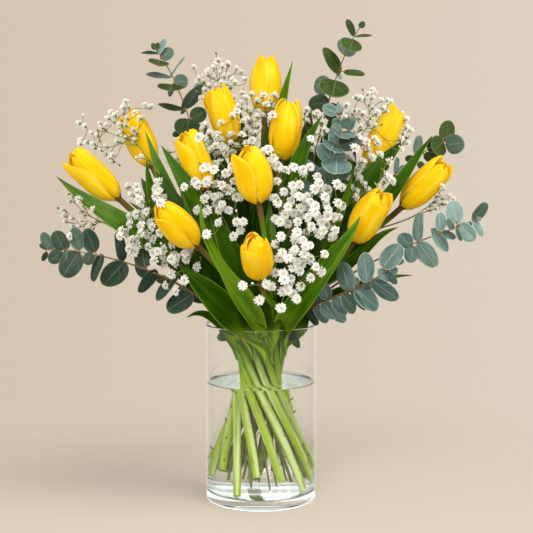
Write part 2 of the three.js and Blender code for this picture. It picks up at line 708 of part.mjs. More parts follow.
// An arm of a spray as one closed surface: a thin twig that passes from floret to floret, each a
// double one, drawn as a five-sided button, and ends in the last.
function arm({ from, florets }, grow) {
  const SIDES = 3;
  const position = [];
  const triangle = (...points) => points.forEach((p) => position.push(p.x, p.y, p.z));
  let start = from;
  let below = null;
  florets.forEach((centre, k) => {
    const axis = centre.clone().sub(start).normalize();
    const along = (distance) => centre.clone().addScaledVector(axis, distance);
    if (!below) {
      below = ring(from.clone().addScaledVector(axis, -grow), axis, SIDES, TWIG + grow);
      triangle(below[0], below[2], below[1]);
    }
    const neck = ring(along(-FLORET.back - grow), axis, SIDES, TWIG + grow);
    const rim = ring(centre, axis, FLORET.points, FLORET.radius + grow);
    stitch(below, neck, triangle);
    stitch(neck, rim, triangle);
    if (k < florets.length - 1) {
      below = ring(along(FLORET.dome + grow), axis, SIDES, TWIG + grow);
      stitch(rim, below, triangle);
      start = centre;
    } else {
      rim.forEach((p, i) => triangle(p, rim[(i + 1) % rim.length], along(FLORET.dome + grow)));
    }
  });
  return solidOfCorners(position);
}

// The stem of a spray runs to a hub, short of the head's middle, on the way out of the bunch.
function sprayRoute(spec, index) {
  const NECK = 50;
  const STEPS = 5;
  const head = vec(spec.head);
  const outward = head.clone().sub(new THREE.Vector3(0, 0, WAIST_Z + 90)).normalize();
  const hub = head.clone().addScaledVector(outward, -spec.reach);
  const line = ruling(RINGS.spray, spec.slot, 3 + ((index * 11) % 26));
  return { hub, outward, route: stemRoute(line, spec.rise, hub, outward, NECK, STEPS) };
}

// A spray's arms stand in a cone round the way out of the bunch, each turned from the last by the
// golden angle. An arm takes the first of a few poses in which it runs clear of what is in place.
function sprayPlan(spec, index) {
  const GOLDEN = radians(137.5);
  const SPREAD = radians(76);
  const TRIES = 12;
  const draw = drawsFrom(701 + index * 31);
  const { hub, outward, route } = sprayRoute(spec, index);
  const others = [...placed, ...reserved.filter((room) => room.name !== spec.name)];
  const level = UP.clone().cross(outward).normalize();
  const other = outward.clone().cross(level).normalize();
  const arms = [];
  for (let k = 0; k < spec.arms; k++) {
    const from = route.bend.getPoint(lerp(0.995, 0.8, k / spec.arms));
    for (let round = 0; round < TRIES; round++) {
      const around = k * GOLDEN + 2.2 * (draw() - 0.5);
      const polar = SPREAD * Math.sqrt((k + 0.3 + 0.5 * draw()) / spec.arms);
      const aim = outward
        .clone()
        .multiplyScalar(Math.cos(polar))
        .addScaledVector(level, Math.sin(polar) * Math.cos(around))
        .addScaledVector(other, Math.sin(polar) * Math.sin(around));
      const near = hub.clone().addScaledVector(aim, spec.reach * lerp(0.95, 1.35, draw()));
      const swing = level.clone().applyAxisAngle(outward, 2 * Math.PI * draw());
      const far = near.clone().addScaledVector(swing, lerp(8, 12, draw())).addScaledVector(aim, 9);
      const pose = { from, florets: [near, far] };
      if (crowding(arm(pose, 0), others) > 0) continue;
      arms.push(pose);
      break;
    }
  }
  return { route, arms };
}

function spray(plan, grow) {
  return joined([stemSolid(plan.route, RINGS.spray, grow), ...plan.arms.map((pose) => arm(pose, grow))]);
}

// ---------------------------------------------------------------- vase and water

function vase(grow) {
  const { height, wall, floor, round, sides } = VASE;
  const outer = VASE.radius + grow;
  const inner = VASE.radius - wall - grow;
  const rim = height - wall / 2 + grow;
  const profile = [
    [0, -grow],
    [outer - round, -grow],
    [outer, round - grow],
    [outer, rim],
    [VASE.radius - wall / 2, height + grow],
    [inner, rim],
    [inner, floor + round + grow],
    [inner - round, floor + grow],
    [0, floor + grow],
  ];
  return lathe(profile, sides);
}

function water(stems) {
  const inner = VASE.radius - VASE.wall - WATER.gap;
  const floor = VASE.floor + WATER.gap;
  const corner = [[inner - VASE.round, floor], [inner, floor + VASE.round]];
  const body = lathe([[0, floor], ...corner, [inner, WATER.level], [0, WATER.level]], VASE.sides);
  return largestBody(stems.reduce((left, stem) => left.subtract(stem), body));
}

// ---------------------------------------------------------------- building the bunch

const bunch = new THREE.Group();
bunch.name = "bunch_of_tulips";

const FINISHES = {
  glass: { color: 0xdfe9e6, roughness: 0.03, metalness: 0, transparent: true, opacity: 0.35 },
  water: { color: 0xe6f0ea, roughness: 0.02, metalness: 0, transparent: true, opacity: 0.3 },
  petal: { color: 0xf8c60c, roughness: 0.5, metalness: 0 },
  green: { color: 0x4c8a22, roughness: 0.45, metalness: 0 },
  eucalyptus: { color: 0x5f8378, roughness: 0.65, metalness: 0 },
  floret: { color: 0xf4f4ea, roughness: 0.8, metalness: 0 },
};
const materials = Object.fromEntries(
  Object.entries(FINISHES).map(([name, look]) => [name, new THREE.MeshStandardMaterial(look)]),
);

function add(name, solid, material) {
  const mesh = new THREE.Mesh(geometryOf(solid), materials[material]);
  mesh.name = name;
  bunch.add(mesh);
}

// What is already in place, each with the room that it needs, and the room kept free for stems to come.
// A later piece is cut back from what is in place where the two would run into each other, and a scrap
// that this cuts loose is dropped.
const placed = [];
const reserved = [];

function apart(a, b) {
  return [0, 1, 2].some((k) => a.min[k] > b.max[k] || b.min[k] > a.max[k]);
}

// The share of a solid's volume that lies in the room of others.
function crowding(solid, others) {
  const box = solid.boundingBox();
  let shared = 0;
  for (const other of others) {
    if (!apart(box, other.box)) shared += solid.intersect(other.room).volume();
  }
  return shared / solid.volume();
}

function place(name, solid, room, material) {
  const box = solid.boundingBox();
  let left = solid;
  for (const other of placed) {
    if (!apart(box, other.box)) left = left.subtract(other.room);
  }
  placed.push({ name, room, box: room.boundingBox() });
  add(name, largestBody(left), material);
}

place("vase", vase(0), vase(CLEARANCE), "glass");

TULIPS.forEach((spec) => {
  const bloom = tulipBloom(spec);
  const middle = vec(spec.base).lerp(vec(spec.tip), 0.5);
  const swell = new THREE.Matrix4()
    .makeTranslation(middle.x, middle.y, middle.z)
    .scale(new THREE.Vector3(1.03, 1.03, 1.03))
    .multiply(new THREE.Matrix4().makeTranslation(-middle.x, -middle.y, -middle.z));
  const name = `${spec.name}_bloom`;
  place(name, bloom, bloom.hull().transform(swell.elements), "petal");
});

TULIPS.forEach((spec, index) => {
  place(`${spec.name}_stem`, leafyStem(spec, index, 0), leafyStem(spec, index, CLEARANCE), "green");
});
SPRAYS.forEach((spec, index) => {
  const room = stemSolid(sprayRoute(spec, index).route, RINGS.spray, CLEARANCE);
  reserved.push({ name: spec.name, room, box: room.boundingBox() });
});
const branches = EUCALYPTUS.map((spec, index) => {
  const plan = eucalyptusPlan(spec, index);
  place(spec.name, eucalyptusBranch(plan, 0), eucalyptusBranch(plan, CLEARANCE), "eucalyptus");
  return plan.route;
});
const sprays = SPRAYS.map((spec, index) => {
  const plan = sprayPlan(spec, index);
  place(spec.name, spray(plan, 0), spray(plan, CLEARANCE), "floret");
  return plan.route;
});

const holes = [
  ...TULIPS.map((spec, index) => stemHole(tulipStem(spec, index), RINGS.tulip)),
  ...branches.map((route) => stemHole(route, RINGS.eucalyptus)),
  ...sprays.map((route) => stemHole(route, RINGS.spray)),
];
add("water", water(holes), "water");

export default bunch;
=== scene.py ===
"""Looks of a hand-tied bunch of yellow tulips with eucalyptus and baby's breath in a glass vase.

The arrangement is stated in millimetres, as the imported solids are, and every mesh is made in metres.
Each class below makes one kind of piece and dresses it; main() builds them from the vase upwards.
"""

import logging
import math
from dataclasses import dataclass, field
from enum import Enum
from functools import cached_property
from typing import Any, Callable, Optional, Sequence, Union

import bpy
import numpy as np
from mathutils import Matrix, Quaternion, Vector
from mathutils.bvhtree import BVHTree


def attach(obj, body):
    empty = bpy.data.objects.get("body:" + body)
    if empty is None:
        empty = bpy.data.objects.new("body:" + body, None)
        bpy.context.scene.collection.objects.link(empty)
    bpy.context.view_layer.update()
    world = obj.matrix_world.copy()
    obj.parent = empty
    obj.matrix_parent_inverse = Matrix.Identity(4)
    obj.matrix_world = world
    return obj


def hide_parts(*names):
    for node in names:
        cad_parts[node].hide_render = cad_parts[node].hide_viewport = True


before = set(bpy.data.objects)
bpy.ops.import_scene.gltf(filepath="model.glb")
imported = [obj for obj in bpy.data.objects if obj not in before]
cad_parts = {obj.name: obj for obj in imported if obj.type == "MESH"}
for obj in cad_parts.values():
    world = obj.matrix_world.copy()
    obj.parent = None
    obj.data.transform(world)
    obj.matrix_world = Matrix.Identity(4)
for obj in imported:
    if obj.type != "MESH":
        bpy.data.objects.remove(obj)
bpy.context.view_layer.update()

LOG = logging.getLogger("bunch")

Array = np.ndarray
Colour = tuple[float, float, float]
Face = tuple[int, ...]
Point = tuple[float, float, float]
Table = Sequence[tuple[float, float]]
Material = bpy.types.Material
Random = np.random.Generator

MM = 0.001
UP = np.array([0.0, 0.0, 1.0])
WAIST_Z = 128.0  # height of the narrowest place of the tied bunch
FOOT_Z = 14.0  # height at which the rings' foot radii are stated
WATER_Z = 131.0  # height of the water's surface
EYE = (6.1, -1500.0, 425.0)  # where the bunch is seen from


# ------ small helpers


def vec(x: float, y: float, z: float) -> Array:
    """A point or a direction."""
    return np.array([x, y, z], float)


def unit(vector: Array) -> Array:
    """The vector, or each row of them, at length one."""
    return vector / np.maximum(np.linalg.norm(vector, axis=-1, keepdims=True), 1e-12)


def smooth(low: float, high: float, x: Any) -> Any:
    """Rises softly from 0 at low to 1 at high."""
    t = np.clip((np.asarray(x, float) - low) / (high - low), 0.0, 1.0)
    return t * t * (3.0 - 2.0 * t)


def blend(a: Any, b: Any, share: Any) -> Any:
    """The value that lies at that share of the way from a to b."""
    return a + (b - a) * share


def turned(vector: Array, axis: Array, angle: float) -> Array:
    """The vector, or each row of them, turned about an axis by an angle in radians."""
    return vector @ np.array(Quaternion(Vector(axis), angle).to_matrix()).T


def frame_of(axis: Array) -> Array:
    """The rotation that takes +Z to the axis by the shortest way, as a 3 by 3 matrix."""
    return np.array(Vector((0, 0, 1)).rotation_difference(Vector(axis)).to_matrix())


def linear(red: int, green: int, blue: int) -> Colour:
    """A colour given as it shows on a screen, 0 to 255, in linear light."""
    shares = (c / 255 for c in (red, green, blue))
    return tuple(c / 12.92 if c < 0.04045 else ((c + 0.055) / 1.055) ** 2.4 for c in shares)


# ------ meshes


def grid_faces(rows: int, columns: int, start: int = 0, flip: bool = False) -> list[Face]:
    """The quads between the points of a grid.

    Args:
        rows: Rows of points.
        columns: Points in a row.
        start: Number of the first point.
        flip: True turns every face round.

    Returns:
        The corners of each quad.
    """
    corners = [start + j * columns + i for j in range(rows - 1) for i in range(columns - 1)]
    quads = [(a, a + 1, a + columns + 1, a + columns) for a in corners]
    return [quad[::-1] for quad in quads] if flip else quads


def remaining(path: Array) -> Array:
    """The distance from each point of a line to its end."""
    steps = np.linalg.norm(np.diff(path, axis=0), axis=1)
    return np.append(np.cumsum(steps[::-1])[::-1], 0.0)


def ring_faces(low: Sequence[int], high: Sequence[int]) -> list[Face]:
    """The faces between two rings of points, three-sided where a ring is a single point."""
    rows = zip(low, (*low[1:], low[0]), (*high[1:], high[0]), high)
    return [tuple(dict.fromkeys(corners)) for corners in rows]


def lathe(profile: Table, sides: int) -> tuple[Array, list[Face]]:
    """A body of revolution.

    Args:
        profile: Radius and height of each point, from the axis below, outwards, up and back.
        sides: Number of sides.

    Returns:
        The vertices and the faces, with one vertex where the profile meets the axis.
    """
    angles = np.linspace(0, 2 * math.pi, sides, endpoint=False)
    points: list[Array] = []
    rows: list[list[int]] = []
    for radius, height in profile:
        turns = angles if radius > 1e-9 else angles[:1]
        start = len(points)
        points += [vec(radius * math.cos(a), radius * math.sin(a), height) for a in turns]
        rows.append([start + k % len(turns) for k in range(sides)])
    faces = [face for low, high in zip(rows, rows[1:]) for face in ring_faces(low, high)]
    return np.array(points), faces


def arc(
    across: float, height: float, radius: float, start: float, end: float, steps: int
) -> list[tuple[float, float]]:
    """Points of an arc.

    Args:
        across: Distance of its centre from the axis.
        height: Height of its centre.
        radius: Its radius.
        start: Where it starts, in quarter turns from the outward side, upwards.
        end: Where it ends.
        steps: Number of steps.

    Returns:
        Distance from the axis and height of each point.
    """
    angles = np.linspace(start, end, steps + 1) * math.pi / 2
    return [(across + radius * math.cos(a), height + radius * math.sin(a)) for a in angles]


class Draft:
    """Gathers the faces of one piece before they become a mesh.

    Every vertex carries its place in the pattern of its own leaf, petal or stem (`grain`: across,
    along and a number of its own) and how near it lies to that leaf's outline (`rim`).
    """

    #: Share of a leaf's thickness that is left at its outline, and beside it.
    edge: float = 0.3
    near_edge: float = 0.8

    def __init__(self) -> None:
        """Starts an empty piece."""
        self.points: list[Array] = []
        self.faces: list[Face] = []
        self.finishes: list[int] = []
        self.grain: list[Array] = []
        self.rim: list[Array] = []
        self.count = 0

    def add(self, points: Array, faces: list[Face], grain: Any, finish: Any = 0, rim: Any = 0.0) -> None:
        """Adds some faces.

        Args:
            points: Vertices, one row each, in millimetres.
            faces: Corners of each face, as numbers of those rows.
            grain: Pattern coordinates, one row for each vertex or one for all.
            finish: Place of the material in the piece's list, for each face or for all.
            rim: Nearness to the outline, for each vertex or for all.
        """
        self.faces += [tuple(int(self.count + k) for k in face) for face in faces]
        self.finishes += np.broadcast_to(finish, len(faces)).tolist()
        self.points.append(points)
        self.grain.append(np.broadcast_to(grain, points.shape))
        self.rim.append(np.broadcast_to(rim, len(points)))
        self.count += len(points)

    def leaf(
        self, grid: Array, thickness: float, own: float, finish: tuple[int, int], rim: Union[float, Array]
    ) -> None:
        """Adds a leaf or petal: both of its faces and the narrow border between them.

        Args:
            grid: Its middle surface, rows by columns by 3.
            thickness: Its thickness.
            own: Its number in the pattern.
            finish: Finish of its upper and of its lower face.
            rim: Nearness of each point to the outline, or the share of the length where its tip begins.
        """
        rows, columns, _ = grid.shape
        across, along = np.meshgrid(np.linspace(-1, 1, columns), np.linspace(0, 1, rows))
        if isinstance(rim, float):
            rim = np.maximum(np.abs(across), smooth(rim, 1.0, along))
        share = np.full((rows, columns, 1), self.edge)
        share[1:-1, 1:-1] = 1.0
        share[1:-1, (1, -2)] = self.near_edge
        normal = unit(np.cross(np.gradient(grid, axis=1), np.gradient(grid, axis=0)))
        offset = normal * share * thickness / 2
        points = np.concatenate([(grid + offset).reshape(-1, 3), (grid - offset).reshape(-1, 3)])
        half, quads = rows * columns, (rows - 1) * (columns - 1)
        numbers = np.arange(half).reshape(rows, columns)
        loop = [*numbers[0], *numbers[1:, -1], *numbers[-1, -2::-1], *numbers[-2:0:-1, 0]]
        faces = grid_faces(rows, columns) + grid_faces(rows, columns, half, flip=True)
        faces += [(a, a + half, b + half, b) for a, b in zip(loop, loop[1:] + loop[:1])]
        upper, lower = finish
        finishes = [upper] * quads + [lower] * quads + [upper] * len(loop)
        grain = np.stack([across, along, np.full(across.shape, own)], axis=-1).reshape(-1, 3)
        self.add(points, faces, np.tile(grain, (2, 1)), finishes, np.tile(rim.ravel(), 2))

    def stalk(
        self, path: Array, radii: Sequence[float], sides: int, own: float, finish: int = 1, run: float = 0.01
    ) -> None:
        """Adds a stem or twig, a tube that is closed at both ends.

        Args:
            path: Its centre line.
            radii: Radius at each point.
            sides: Number of sides.
            own: Its number in the pattern.
            finish: Place of its material.
            run: How much the pattern moves on in a millimetre of its length.
        """
        ahead = unit(np.gradient(path, axis=0))
        side = unit(np.cross(ahead[0], UP if abs(ahead[0][2]) < 0.9 else vec(1, 0, 0)))
        angles = np.linspace(0, 2 * math.pi, sides, endpoint=False)[:, None]
        rings = []
        for centre, along, radius in zip(path, ahead, radii):
            side = unit(side - along * np.dot(side, along))
            rings.append(centre + radius * (np.cos(angles) * side + np.sin(angles) * np.cross(along, side)))
        numbers = [list(range(j * sides, (j + 1) * sides)) for j in range(len(path))]
        faces = [face for low, high in zip(numbers, numbers[1:]) for face in ring_faces(low, high)]
        faces += [tuple(numbers[0][::-1]), tuple(numbers[-1])]
        turn = np.tile(np.linspace(-1, 1, sides, endpoint=False), len(path))
        left = np.repeat(remaining(path), sides) * run
        grain = np.stack([turn, left, np.full(len(turn), own)], axis=-1)
        self.add(np.concatenate(rings), faces, grain, finish)

    def piece(
        self, name: str, materials: Sequence[Material], node: str = "", crease: float = 50.0
    ) -> BVHTree:
        """Makes the object and links it to the scene, its origin at the frame's.

        Args:
            name: Name of the piece.
            materials: Materials in the order of the finishes.
            node: Node that it stands for, left out for a piece of the studio.
            crease: Angle in degrees above which an edge is drawn sharp.

        Returns:
            Its faces, for asking what is near, in millimetres.
        """
        mesh = bpy.data.meshes.new(name)
        mesh.from_pydata((np.concatenate(self.points) * MM).tolist(), [], self.faces)
        for material in materials:
            mesh.materials.append(material)
        mesh.polygons.foreach_set("material_index", self.finishes)
        mesh.polygons.foreach_set("use_smooth", [True] * len(self.faces))
        grain = mesh.attributes.new("grain", "FLOAT_VECTOR", "POINT")
        grain.data.foreach_set("vector", np.concatenate(self.grain).astype(np.float32).ravel())
        rim = mesh.attributes.new("rim", "FLOAT", "POINT")
        rim.data.foreach_set("value", np.concatenate(self.rim).astype(np.float32))
        mesh.update()
        mesh.set_sharp_from_angle(angle=math.radians(crease))
        made = bpy.data.objects.new(name, mesh)
        bpy.context.scene.collection.objects.link(made)
        if node:
            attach(made, "root")
            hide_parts(node)
        LOG.info("%s: %d faces", name, len(self.faces))
        return BVHTree.FromPolygons(np.concatenate(self.points).tolist(), self.faces)


@dataclass(frozen=True)
class Cubic:
    """A cubic curve with four control points."""

    a: Array
    b: Array
    c: Array
    d: Array

    @classmethod
    def through(cls, start: Array, first: Array, second: Array, end: Array) -> "Cubic":
        """The curve that passes two points at a third and two thirds of its way.

        Args:
            start: Where it starts.
            first: The point at a third.
            second: The point at two thirds.
            end: Where it ends.

        Returns:
            The curve.
        """
        b = -5 / 6 * start + 3 * first - 1.5 * second + end / 3
        c = start / 3 - 1.5 * first + 3 * second - 5 / 6 * end
        return cls(start, b, c, end)

    def at(self, t: Any) -> Array:
        """The points of the curve.

        Args:
            t: Parameter, or a row of them.

        Returns:
            The point, or a row for each of them.
        """
        t = np.asarray(t, float)[..., None]
        s = 1 - t
        return s**3 * self.a + 3 * s * s * t * self.b + 3 * s * t * t * self.c + t**3 * self.d

    def heading(self, t: Any) -> Array:
        """The way that the curve goes.

        Args:
            t: Parameter, or a row of them.

        Returns:
            The direction at length one, or a row for each of them.
        """
        t = np.asarray(t, float)[..., None]
        s = 1 - t
        return unit(s * s * (self.b - self.a) + 2 * s * t * (self.c - self.b) + t * t * (self.d - self.c))


# ------ shading


def operation(name: str, swapped: bool = False) -> Callable[..., "Signal"]:
    """A method that puts a signal and other values through a Math node.

    Args:
        name: What the node does.
        swapped: True takes the values from the last to the first.

    Returns:
        The method.
    """

    def apply(*values: "Number") -> "Signal":
        """Adds the node."""
        ordered = values[::-1] if swapped else values
        return values[0].nodes.node("Math", {"operation": name}, dict(enumerate(ordered)))

    return apply


class Signal:
    """An output of a node that takes part in sums."""

    __add__ = operation("ADD")
    __radd__ = operation("ADD", swapped=True)
    __sub__ = operation("SUBTRACT")
    __rsub__ = operation("SUBTRACT", swapped=True)
    __mul__ = operation("MULTIPLY")
    __rmul__ = operation("MULTIPLY", swapped=True)
    __pow__ = operation("POWER")
    __rpow__ = operation("POWER", swapped=True)
    __abs__ = operation("ABSOLUTE")
    most = operation("MAXIMUM")

    def __init__(self, nodes: "Nodes", socket: bpy.types.NodeSocket) -> None:
        """Wraps an output socket."""
        self.nodes, self.socket = nodes, socket

    def also(self, name: str) -> "Signal":
        """Another output of the same node."""
        return Signal(self.nodes, self.socket.node.outputs[name])

    def rise(self, low: float, high: float) -> "Signal":
        """Goes softly from 0 at low to 1 at high."""
        sockets = {"Value": self, "From Min": low, "From Max": high}
        return self.nodes.node("MapRange", {"interpolation_type": "SMOOTHSTEP"}, sockets)


Number = Union[Signal, float]
Feed = Union[Signal, float, Sequence[float]]


class Nodes:
    """The nodes of a material or of the world."""

    def __init__(self, owner: Union[Material, bpy.types.World], end: str) -> None:
        """Starts the nodes.

        Args:
            owner: Material or world, which is left no node but its output.
            end: Kind of that output.
        """
        owner.use_nodes = True
        self.owner, self.tree = owner, owner.node_tree
        self.tree.nodes.clear()
        self.output = self.tree.nodes.new("ShaderNode" + end)

    def node(
        self, kind: str, settings: Optional[dict] = None, sockets: Optional[dict] = None, out: Any = 0
    ) -> Signal:
        """Adds a node.

        Args:
            kind: The node's type, without the words that all types begin with.
            settings: Its properties, and `stops` for a ramp, as pairs of a place and a colour.
            sockets: A value or a link for each named or numbered input.
            out: Name or number of the output that is wanted.

        Returns:
            That output.
        """
        made = self.tree.nodes.new("ShaderNode" + kind)
        for name, value in (settings or {}).items():
            if name == "stops":
                ramp = made.color_ramp
                while len(ramp.elements) < len(value):
                    ramp.elements.new(1.0)
                for element, (place, colour) in zip(ramp.elements, value):
                    element.position = place
                    element.color = (*colour, 1.0)
            else:
                setattr(made, name, value)
        for name, value in (sockets or {}).items():
            self.feed(made.inputs[name], value)
        return Signal(self, made.outputs[out])

    def feed(self, socket: bpy.types.NodeSocket, value: Feed) -> None:
        """Links or sets an input.

        Args:
            socket: The input.
            value: A signal, which is linked, or a number or colour, to which the input is set.
        """
        if isinstance(value, Signal):
            self.tree.links.new(value.socket, socket)
        elif isinstance(value, (int, float)):
            socket.default_value = value
        else:
            socket.default_value = (*value, 1.0)[: len(socket.default_value)]

    def split(self, vector: Signal) -> tuple[Signal, Signal, Signal]:
        """The three numbers of a vector."""
        made = self.node("SeparateXYZ", {}, {0: vector})
        return made, made.also("Y"), made.also("Z")

    def ramp(self, share: Signal, *stops: tuple[float, Colour]) -> Signal:
        """The colour at that share of a row of stops."""
        return self.node("ValToRGB", {"stops": stops}, {0: share})

    def either(self, share: Number, a: Signal, b: Signal) -> Signal:
        """The shader a, with that share of the shader b."""
        return self.node("MixShader", {}, {0: share, 1: a, 2: b})

    def done(self, shader: Signal, through: float = 0.0, colour: Feed = 0.0) -> Any:
        """Ends the nodes with this shader.

        Args:
            shader: The shader of the face.
            through: Share of the light that comes through a leaf or petal.
            colour: Colour of that light.

        Returns:
            The material or world.
        """
        if through:
            shader = self.either(through, shader, self.node("BsdfTranslucent", {}, {"Color": colour}))
        self.feed(self.output.inputs["Surface"], shader)
        return self.owner


class Shade(Nodes):
    """The nodes of a material."""

    def __init__(self, name: str) -> None:
        """Starts a material."""
        super().__init__(bpy.data.materials.new(name), "OutputMaterial")

    @cached_property
    def grain(self) -> tuple[Signal, Signal, Signal]:
        """Across, along and own number in the pattern of the leaf, petal or stem."""
        return self.split(self.node("Attribute", {"attribute_name": "grain"}, {}, "Vector"))

    @cached_property
    def rim(self) -> Signal:
        """Nearness to the outline."""
        return self.node("Attribute", {"attribute_name": "rim"}, {}, "Fac")

    @cached_property
    def place(self) -> Signal:
        """The place in the frame, in metres."""
        return self.node("TexCoord", {}, {}, "Object")

    @cached_property
    def height(self) -> Signal:
        """The height in the frame, in metres."""
        return self.split(self.place)[2]

    def noise(self, vector: Signal, scale: float = 1.0, detail: float = 2.0, rough: float = 0.5) -> Signal:
        """Soft random variation from 0 to 1 over a vector."""
        sockets = {"Vector": vector, "Scale": scale, "Detail": detail, "Roughness": rough}
        return self.node("TexNoise", {}, sockets)

    def joined(self, x: Number, y: Number, z: Number) -> Signal:
        """A vector of three numbers."""
        return self.node("CombineXYZ", {}, {0: x, 1: y, 2: z})

    def pattern(
        self, across: float, along: float, own: float, detail: float = 2.0, rough: float = 0.5
    ) -> Signal:
        """Soft random variation over the grain.

        Args:
            across: How often it changes across.
            along: How often it changes along.
            own: How far the pattern moves on from one leaf, petal or stem to the next.
            detail: Finer layers.
            rough: Weight of the finer layers.

        Returns:
            The variation, from 0 to 1.
        """
        u, v, number = self.grain
        return self.noise(self.joined(u * across, v * along, number * own), 1.0, detail, rough)

    def mixed(self, share: Number, a: Feed, b: Feed) -> Signal:
        """The colour at that share of the way from a to b."""
        return self.node("Mix", {"data_type": "RGBA"}, {0: share, 6: a, 7: b}, 2)

    def bump(self, height: Signal, depth: float, strength: float) -> Signal:
        """The normal of a surface whose heights, from 0 to 1, are so many millimetres at most."""
        return self.node("Bump", {}, {"Height": height, "Distance": depth * MM, "Strength": strength})

    def surface(self, **sockets: Feed) -> Signal:
        """The main shader, its inputs named with _ for spaces."""
        return self.node("BsdfPrincipled", {}, {name.replace("_", " "): v for name, v in sockets.items()})


@dataclass(frozen=True)
class PetalFinish:
    """Satin yellow petal with fine veins from foot to tip."""

    name: str = "tulip_petal"
    light: Colour = linear(255, 242, 104)
    middle: Colour = linear(255, 225, 14)
    deep: Colour = linear(255, 207, 2)
    foot: Colour = linear(240, 214, 40)
    gloss: Colour = (1.0, 0.86, 0.3)
    through: float = 0.5

    def build(self) -> Material:
        """Makes the material.

        Returns:
            The material.
        """
        shade = Shade(self.name)
        u, v, _ = shade.grain
        veins = shade.pattern(26, 1.3, 61, 3, 0.6)
        keel = 1.0 - abs(u).rise(0.0, 0.16)
        tone = veins * 0.4 + shade.pattern(1.7, 1.9, 37, 1) * 0.6 + keel * 0.12 - v.rise(0.75, 1.0) * 0.06
        colour = shade.ramp(tone, (0.30, self.deep), (0.52, self.middle), (0.80, self.light))
        colour = shade.mixed((1.0 - v.rise(0.0, 0.12)) * 0.75, colour, self.foot)
        # Paler petal edges: a painted highlight along the outline.
        colour = shade.mixed(shade.rim.rise(0.84, 1.0) * 0.5, colour, self.light)
        surface = shade.surface(
            Base_Color=colour,
            Roughness=veins * 0.16 + 0.36,
            Normal=shade.bump(veins * 0.5 + shade.pattern(70, 4, 23) * 0.3, 0.4, 0.55),
            Specular_IOR_Level=0.5,
            Specular_Tint=self.gloss,
        )
        return shade.done(surface, self.through, shade.mixed(0.5, colour, self.light))


@dataclass(frozen=True)
class BladeFinish:
    """Tulip leaf: smooth, rather glossy, with parallel veins and a paler foot."""

    name: str = "tulip_blade"
    dark: Colour = linear(26, 56, 0)
    middle: Colour = linear(58, 100, 2)
    fresh: Colour = linear(126, 164, 30)
    margin: Colour = linear(142, 178, 66)
    # Lighter green for the parts of the leaves below the vase's rim: painted light.
    low: Colour = linear(168, 206, 36)
    gloss: Colour = (0.75, 1.0, 0.42)
    through: float = 0.2

    def build(self) -> Material:
        """Makes the material.

        Returns:
            The material.
        """
        shade = Shade(self.name)
        u, v, own = shade.grain
        rows = shade.pattern(22, 0.7, 53, 2, 0.55)
        fine = shade.pattern(64, 1.1, 29, 1)
        keel = 1.0 - abs(u).rise(0.0, 0.10)
        tone = rows * 0.18 + fine * 0.14 + shade.pattern(1.5, 3, 41) * 0.66 + keel * 0.1 + own * 0.2
        colour = shade.ramp(tone, (0.36, self.dark), (0.62, self.middle), (0.95, self.fresh))
        colour = shade.mixed((1.0 - v.rise(0.02, 0.42)) * 0.8, colour, self.fresh)
        # Below the vase's rim the leaves are drawn lighter: painted light.
        colour = shade.mixed((1.0 - shade.height.rise(0.18, 0.204)) * 0.8, colour, self.low)
        colour = shade.mixed(shade.rim.rise(0.88, 1.0) * 0.6, colour, self.margin)
        surface = shade.surface(
            Base_Color=colour,
            Roughness=rows * 0.16 + 0.27,
            Normal=shade.bump(rows * 0.6 + fine * 0.4, 0.35, 0.6),
            Specular_IOR_Level=0.34,
            Specular_Tint=self.gloss,
        )
        return shade.done(surface, self.through, colour)


@dataclass(frozen=True)
class StemFinish:
    """Tulip stem: pale in the water, fresh green above it and brown below the bloom."""

    name: str = "tulip_stem"
    pale: Colour = linear(146, 168, 32)
    fresh: Colour = linear(88, 132, 12)
    brown: Colour = linear(96, 68, 36)
    # Pale streaks: painted highlights on the stems in the water.
    painted_highlight: Colour = linear(218, 228, 166)
    shade: Colour = linear(78, 112, 2)

    def build(self) -> Material:
        """Makes the material.

        Returns:
            The material.
        """
        shade = Shade(self.name)
        left = shade.grain[1]
        threads = shade.pattern(18, 1.2, 31)
        bands = shade.pattern(2.6, 0.9, 57, 1)
        blots = shade.pattern(2, 5, 47)
        wet = 1.0 - (shade.height + blots * 0.03).rise(0.135, 0.19)
        colour = shade.mixed(wet, self.fresh, self.pale)
        # Darker bands are painted shade and the pale streaks in the water painted highlights; brown spots
        # and neck are the stem's own.
        for share, layer in (
            ((threads * 0.5 + bands * 0.6).rise(0.46, 0.66) * 0.75, self.shade),
            (wet * (bands + threads * 0.3).rise(0.54, 0.8) * 0.6, self.painted_highlight),
            ((blots * 0.7 + threads * 0.4).rise(0.63, 0.74) * 0.55, self.brown),
            ((1.0 - (left + blots * 0.2).rise(0.16, 0.46)) * 0.9, self.brown),
        ):
            colour = shade.mixed(share, colour, layer)
        surface = shade.surface(
            Base_Color=colour,
            Roughness=threads * 0.2 + 0.4,
            Specular_IOR_Level=0.12,
            Normal=shade.bump(threads * 0.7 + blots * 0.3, 0.4, 0.6),
            Subsurface_Weight=0.12,
            Subsurface_Radius=(0.002, 0.003, 0.001),
        )
        return shade.done(surface)


class Tone(Enum):
    """The colours that gum leaves come in: dark, middle and pale of each."""

    SLATE = (linear(32, 52, 38), linear(60, 82, 62), linear(110, 130, 102))
    ASH = (linear(62, 86, 72), linear(96, 122, 104), linear(146, 162, 138))
    SILVER = (linear(92, 122, 114), linear(150, 178, 170), linear(200, 214, 198))
    BLUE = (linear(62, 88, 82), linear(108, 136, 128), linear(168, 186, 174))
    OLIVE = (linear(34, 56, 10), linear(64, 88, 26), linear(122, 126, 66))
    DEEP = (linear(24, 44, 16), linear(52, 76, 36), linear(96, 112, 68))

    @property
    def under(self) -> "Tone":
        """The tone of the other face of such a leaf."""
        return {"OLIVE": Tone.SILVER, "DEEP": Tone.ASH, "ASH": Tone.SLATE}.get(self.name, self)


